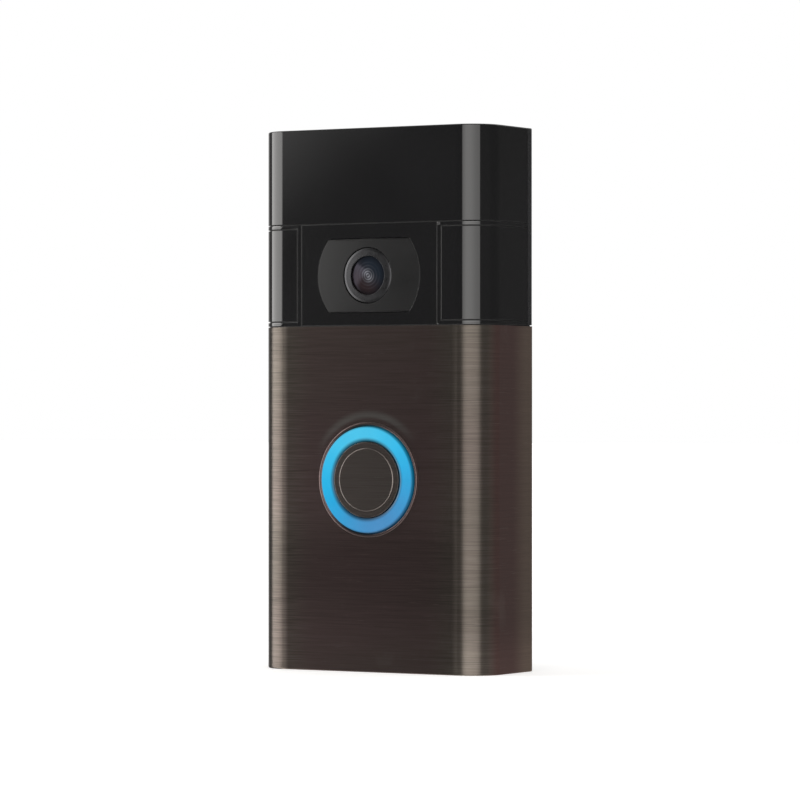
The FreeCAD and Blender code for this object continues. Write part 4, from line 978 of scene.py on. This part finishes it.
# ------------------------------------------------------------------ button and lit ring
def build_button():
    y0 = BC0[1]                 # face of the raised disc
    yr = RG0[1]                 # face of the lit ring
    prof = [(0, y0), (3.5, y0), (7.16, y0), (7.33, y0 + 0.12), (8.70, y0 + 0.12), (8.8, yr + 0.22), (8.8, ly(2.85)), (9.95, ly(2.85)),
            (9.95, ly(3.4)), (7.6, ly(3.4)), (7.6, ly(0.4)), (2.0, ly(0.4)), (2.0, ly(3.0)), (0, ly(3.0))]
    radii = [0, 0, 0.05, 0.05, 0.07, 0.07, 0.1, 0.1, 0.1, 0.1, 0.3, 0.3, 0.1, 0]
    prof = supported(filleted(prof, radii, 6))
    o = lathe("brushed_button", 0, Z_BTN, prof, 192)
    return done(o, "button_cap")


def build_ring():
    y0 = RG0[1]
    prof = [(8.95, y0 + 0.2), (9.40, y0), (12.15, y0), (12.35, y0 + 0.2), (12.35, ly(1.65)), (13.1, ly(1.65)), (13.1, ly(2.65)), (8.95, ly(2.65))]
    prof = supported(filleted(prof, [0.08, 0.5, 0.16, 0.16, 0.05, 0.1, 0.1, 0.1], 6))
    o = lathe("lit_ring", 0, Z_BTN, prof, 192)
    return done(o, "light_ring")


build_faceplate()
build_top_cover()
build_bezel()
build_side_panel("left_side_panel", "gloss_left_panel", LP0, LP1, -1)
build_side_panel("right_side_panel", "gloss_right_panel", RP0, RP1, 1)
build_window()
build_surround()
build_lens()
build_button()
build_ring()


# ------------------------------------------------------------------ floor, light, camera
def build_floor():
    me = bpy.data.meshes.new("floor")
    s = 6.0
    z = cad_lo.z - 0.00005
    me.from_pydata([(-s, -s, z), (s, -s, z), (s, s, z), (-s, s, z)], [], [(0, 1, 2, 3)])
    fl = bpy.data.objects.new("floor", me)
    scene.collection.objects.link(fl)
    m, t, p = new_mat("floor_white")
    n = t.noise(t.coords(), 3.0, 2.0, 0.5)
    t.put(p, "Base Color", t.mix(t.ramp(n, 0.3, 0.7), rgb((0.80, 0.80, 0.80)), rgb((0.83, 0.83, 0.83))))
    p.inputs["Roughness"].default_value = 0.9
    p.inputs["Specular IOR Level"].default_value = 0.0
    p.inputs["Emission Color"].default_value = (1, 1, 1, 1)
    p.inputs["Emission Strength"].default_value = FLOOR_GLOW
    me.materials.append(m)
    fl.visible_glossy = False
    fl.visible_shadow = False


FLOOR_GLOW = 0.46


def build_world():
    """A soft studio: a tall soft box on the left, a broad one in front, a dark card between them, white behind."""
    w = bpy.data.worlds.new("studio")
    scene.world = w
    w.use_nodes = True
    t = Tree(w.node_tree)
    out = t.add("ShaderNodeOutputWorld")
    tc = t.add("ShaderNodeTexCoord").outputs["Generated"]
    sep = t.add("ShaderNodeSeparateXYZ")
    t.l.new(tc, sep.inputs[0])
    az = t.math("MULTIPLY", t.math("ARCTAN2", sep.outputs[0], t.math("MULTIPLY", sep.outputs[1], -1.0)), 180 / math.pi)
    el = t.math("MULTIPLY", t.math("ARCSINE", sep.outputs[2]), 180 / math.pi)

    def panel(a0, a1, e0, e1, level, sa=1.0, se=6.0):
        u = t.math("MULTIPLY", t.ramp(az, a0 - sa, a0 + sa), t.ramp(az, a1 + sa, a1 - sa))
        v = t.math("MULTIPLY", t.ramp(el, e0 - se, e0 + se), t.ramp(el, e1 + se, e1 - se))
        return t.math("MULTIPLY", t.math("MULTIPLY", u, v), level)
    # a little darker behind, where only the case's sides look, with the pale table low down
    back = t.ramp(az, 84.0, 112.0)
    total = t.math("MULTIPLY_ADD", back, BACK_DIM, AMBIENT)
    total = t.math("ADD", total, t.math("MULTIPLY", back, t.ramp(el, -4.0, -22.0, 0.0, BACK_LOW)))
    total = t.math("ADD", total, t.math("MULTIPLY", back, t.ramp(el, 8.0, 26.0, 0.0, BACK_HIGH)))
    # tall box on the left; its inner edge leans toward the front as it rises
    lean = t.math("MULTIPLY_ADD", t.math("MINIMUM", t.math("MAXIMUM", el, -4.5), 4.5), LEFT_LEAN, LEFT_EDGE)
    edge = t.math("ADD", lean, t.ramp(el, 5.0, 12.0, 0.0, -12.0))
    u = t.math("MULTIPLY", t.ramp(az, -93.5, -88.5), t.ramp(t.math("SUBTRACT", az, edge), LEFT_SOFT, -LEFT_SOFT))
    v = t.math("MULTIPLY", t.ramp(el, -20.0, -8.0), t.ramp(el, 24.0, 12.0))
    total = t.math("ADD", total, t.math("MULTIPLY", t.math("MULTIPLY", u, v), LEFT_LEVEL))
    for args in PANELS:
        total = t.math("ADD", total, panel(*args))
    # broad light from overhead, and what comes back from the white floor
    total = t.math("ADD", total, t.ramp(el, 34.0, 68.0, 0.0, TOP))
    total = t.math("ADD", total, t.ramp(el, -36.0, -62.0, 0.0, BOTTOM))
    # centre of the broad box is brighter than its sides
    total = t.math("ADD", total, t.math("MULTIPLY", panel(-6.5, 58.0, -14.0, 16.0, 1.0, 0.8, 6.0), t.math("MULTIPLY", t.ramp(az, -8.0, 10.0), t.ramp(az, 54.0, 16.0, 0.0, FRONT_MID))))
    col = t.add("ShaderNodeCombineColor")
    t.l.new(total, col.inputs[0])
    t.l.new(t.math("MULTIPLY", total, 0.985), col.inputs[1])
    t.l.new(t.math("MULTIPLY", total, 0.965), col.inputs[2])
    bg = t.add("ShaderNodeBackground")
    t.l.new(col.outputs[0], bg.inputs[0])
    white = t.add("ShaderNodeBackground", ins={0: (1, 1, 1, 1), 1: 1.0})
    lp = t.add("ShaderNodeLightPath")
    mx = t.add("ShaderNodeMixShader")
    t.l.new(lp.outputs["Is Camera Ray"], mx.inputs[0])
    t.l.new(bg.outputs[0], mx.inputs[1])
    t.l.new(white.outputs[0], mx.inputs[2])
    t.l.new(mx.outputs[0], out.inputs[0])


AMBIENT = 0.160
BACK_DIM, BACK_LOW, BACK_HIGH = -0.05, 0.7, 0.28
TOP = 0.85
BOTTOM = 1.75
FRONT_MID = 1.2
LEFT_LEVEL, LEFT_EDGE, LEFT_LEAN, LEFT_SOFT = 4.3, -38.0, 0.9, 3.6
# azimuth from, to, elevation from, to, level, softness in azimuth, in elevation (degrees; azimuth 0 is straight in front)
PANELS = [
    (-6.5, 57.0, -14.0, 16.0, 2.2, 0.8, 6.0),
    (-84.0, -42.0, 7.0, 24.0, 2.8, 5.0, 3.0),
    (-84.0, -42.0, -24.0, -7.0, 2.2, 5.0, 3.0),
    (-84.0, -46.0, 30.0, 54.0, 1.6, 6.0, 5.0),
    (-3.0, 54.0, 7.0, 24.0, 2.2, 10.0, 3.0),
    (-3.0, 54.0, -24.0, -7.0, 2.2, 10.0, 3.0),
    (-40.0, -10.0, -7.0, 7.0, -0.085, 4.0, 4.0),
    (-150.0, -120.0, 0.0, 50.0, 0.8, 12.0, 12.0),
    (130.0, 175.0, 20.0, 60.0, 0.8, 12.0, 12.0),
]
build_floor()
build_world()


def build_camera():
    cam = bpy.data.cameras.new("camera")
    ob = bpy.data.objects.new("camera", cam)
    scene.collection.objects.link(ob)
    a = rad(31.06)
    ob.location = (0.5004, -0.8303, 0.0606)
    d = Vector((-math.sin(a), math.cos(a), 0))
    ob.rotation_mode = "QUATERNION"
    ob.rotation_quaternion = d.to_track_quat("-Z", "Y")
    cam.lens = 185.75
    cam.sensor_width = 36.0
    cam.shift_x = 0.0015
    cam.shift_y = 0.01410
    cam.clip_start = 0.05
    cam.clip_end = 50.0
    scene.camera = ob


build_camera()
scene.view_settings.view_transform = "Standard"
scene.view_settings.look = "None"
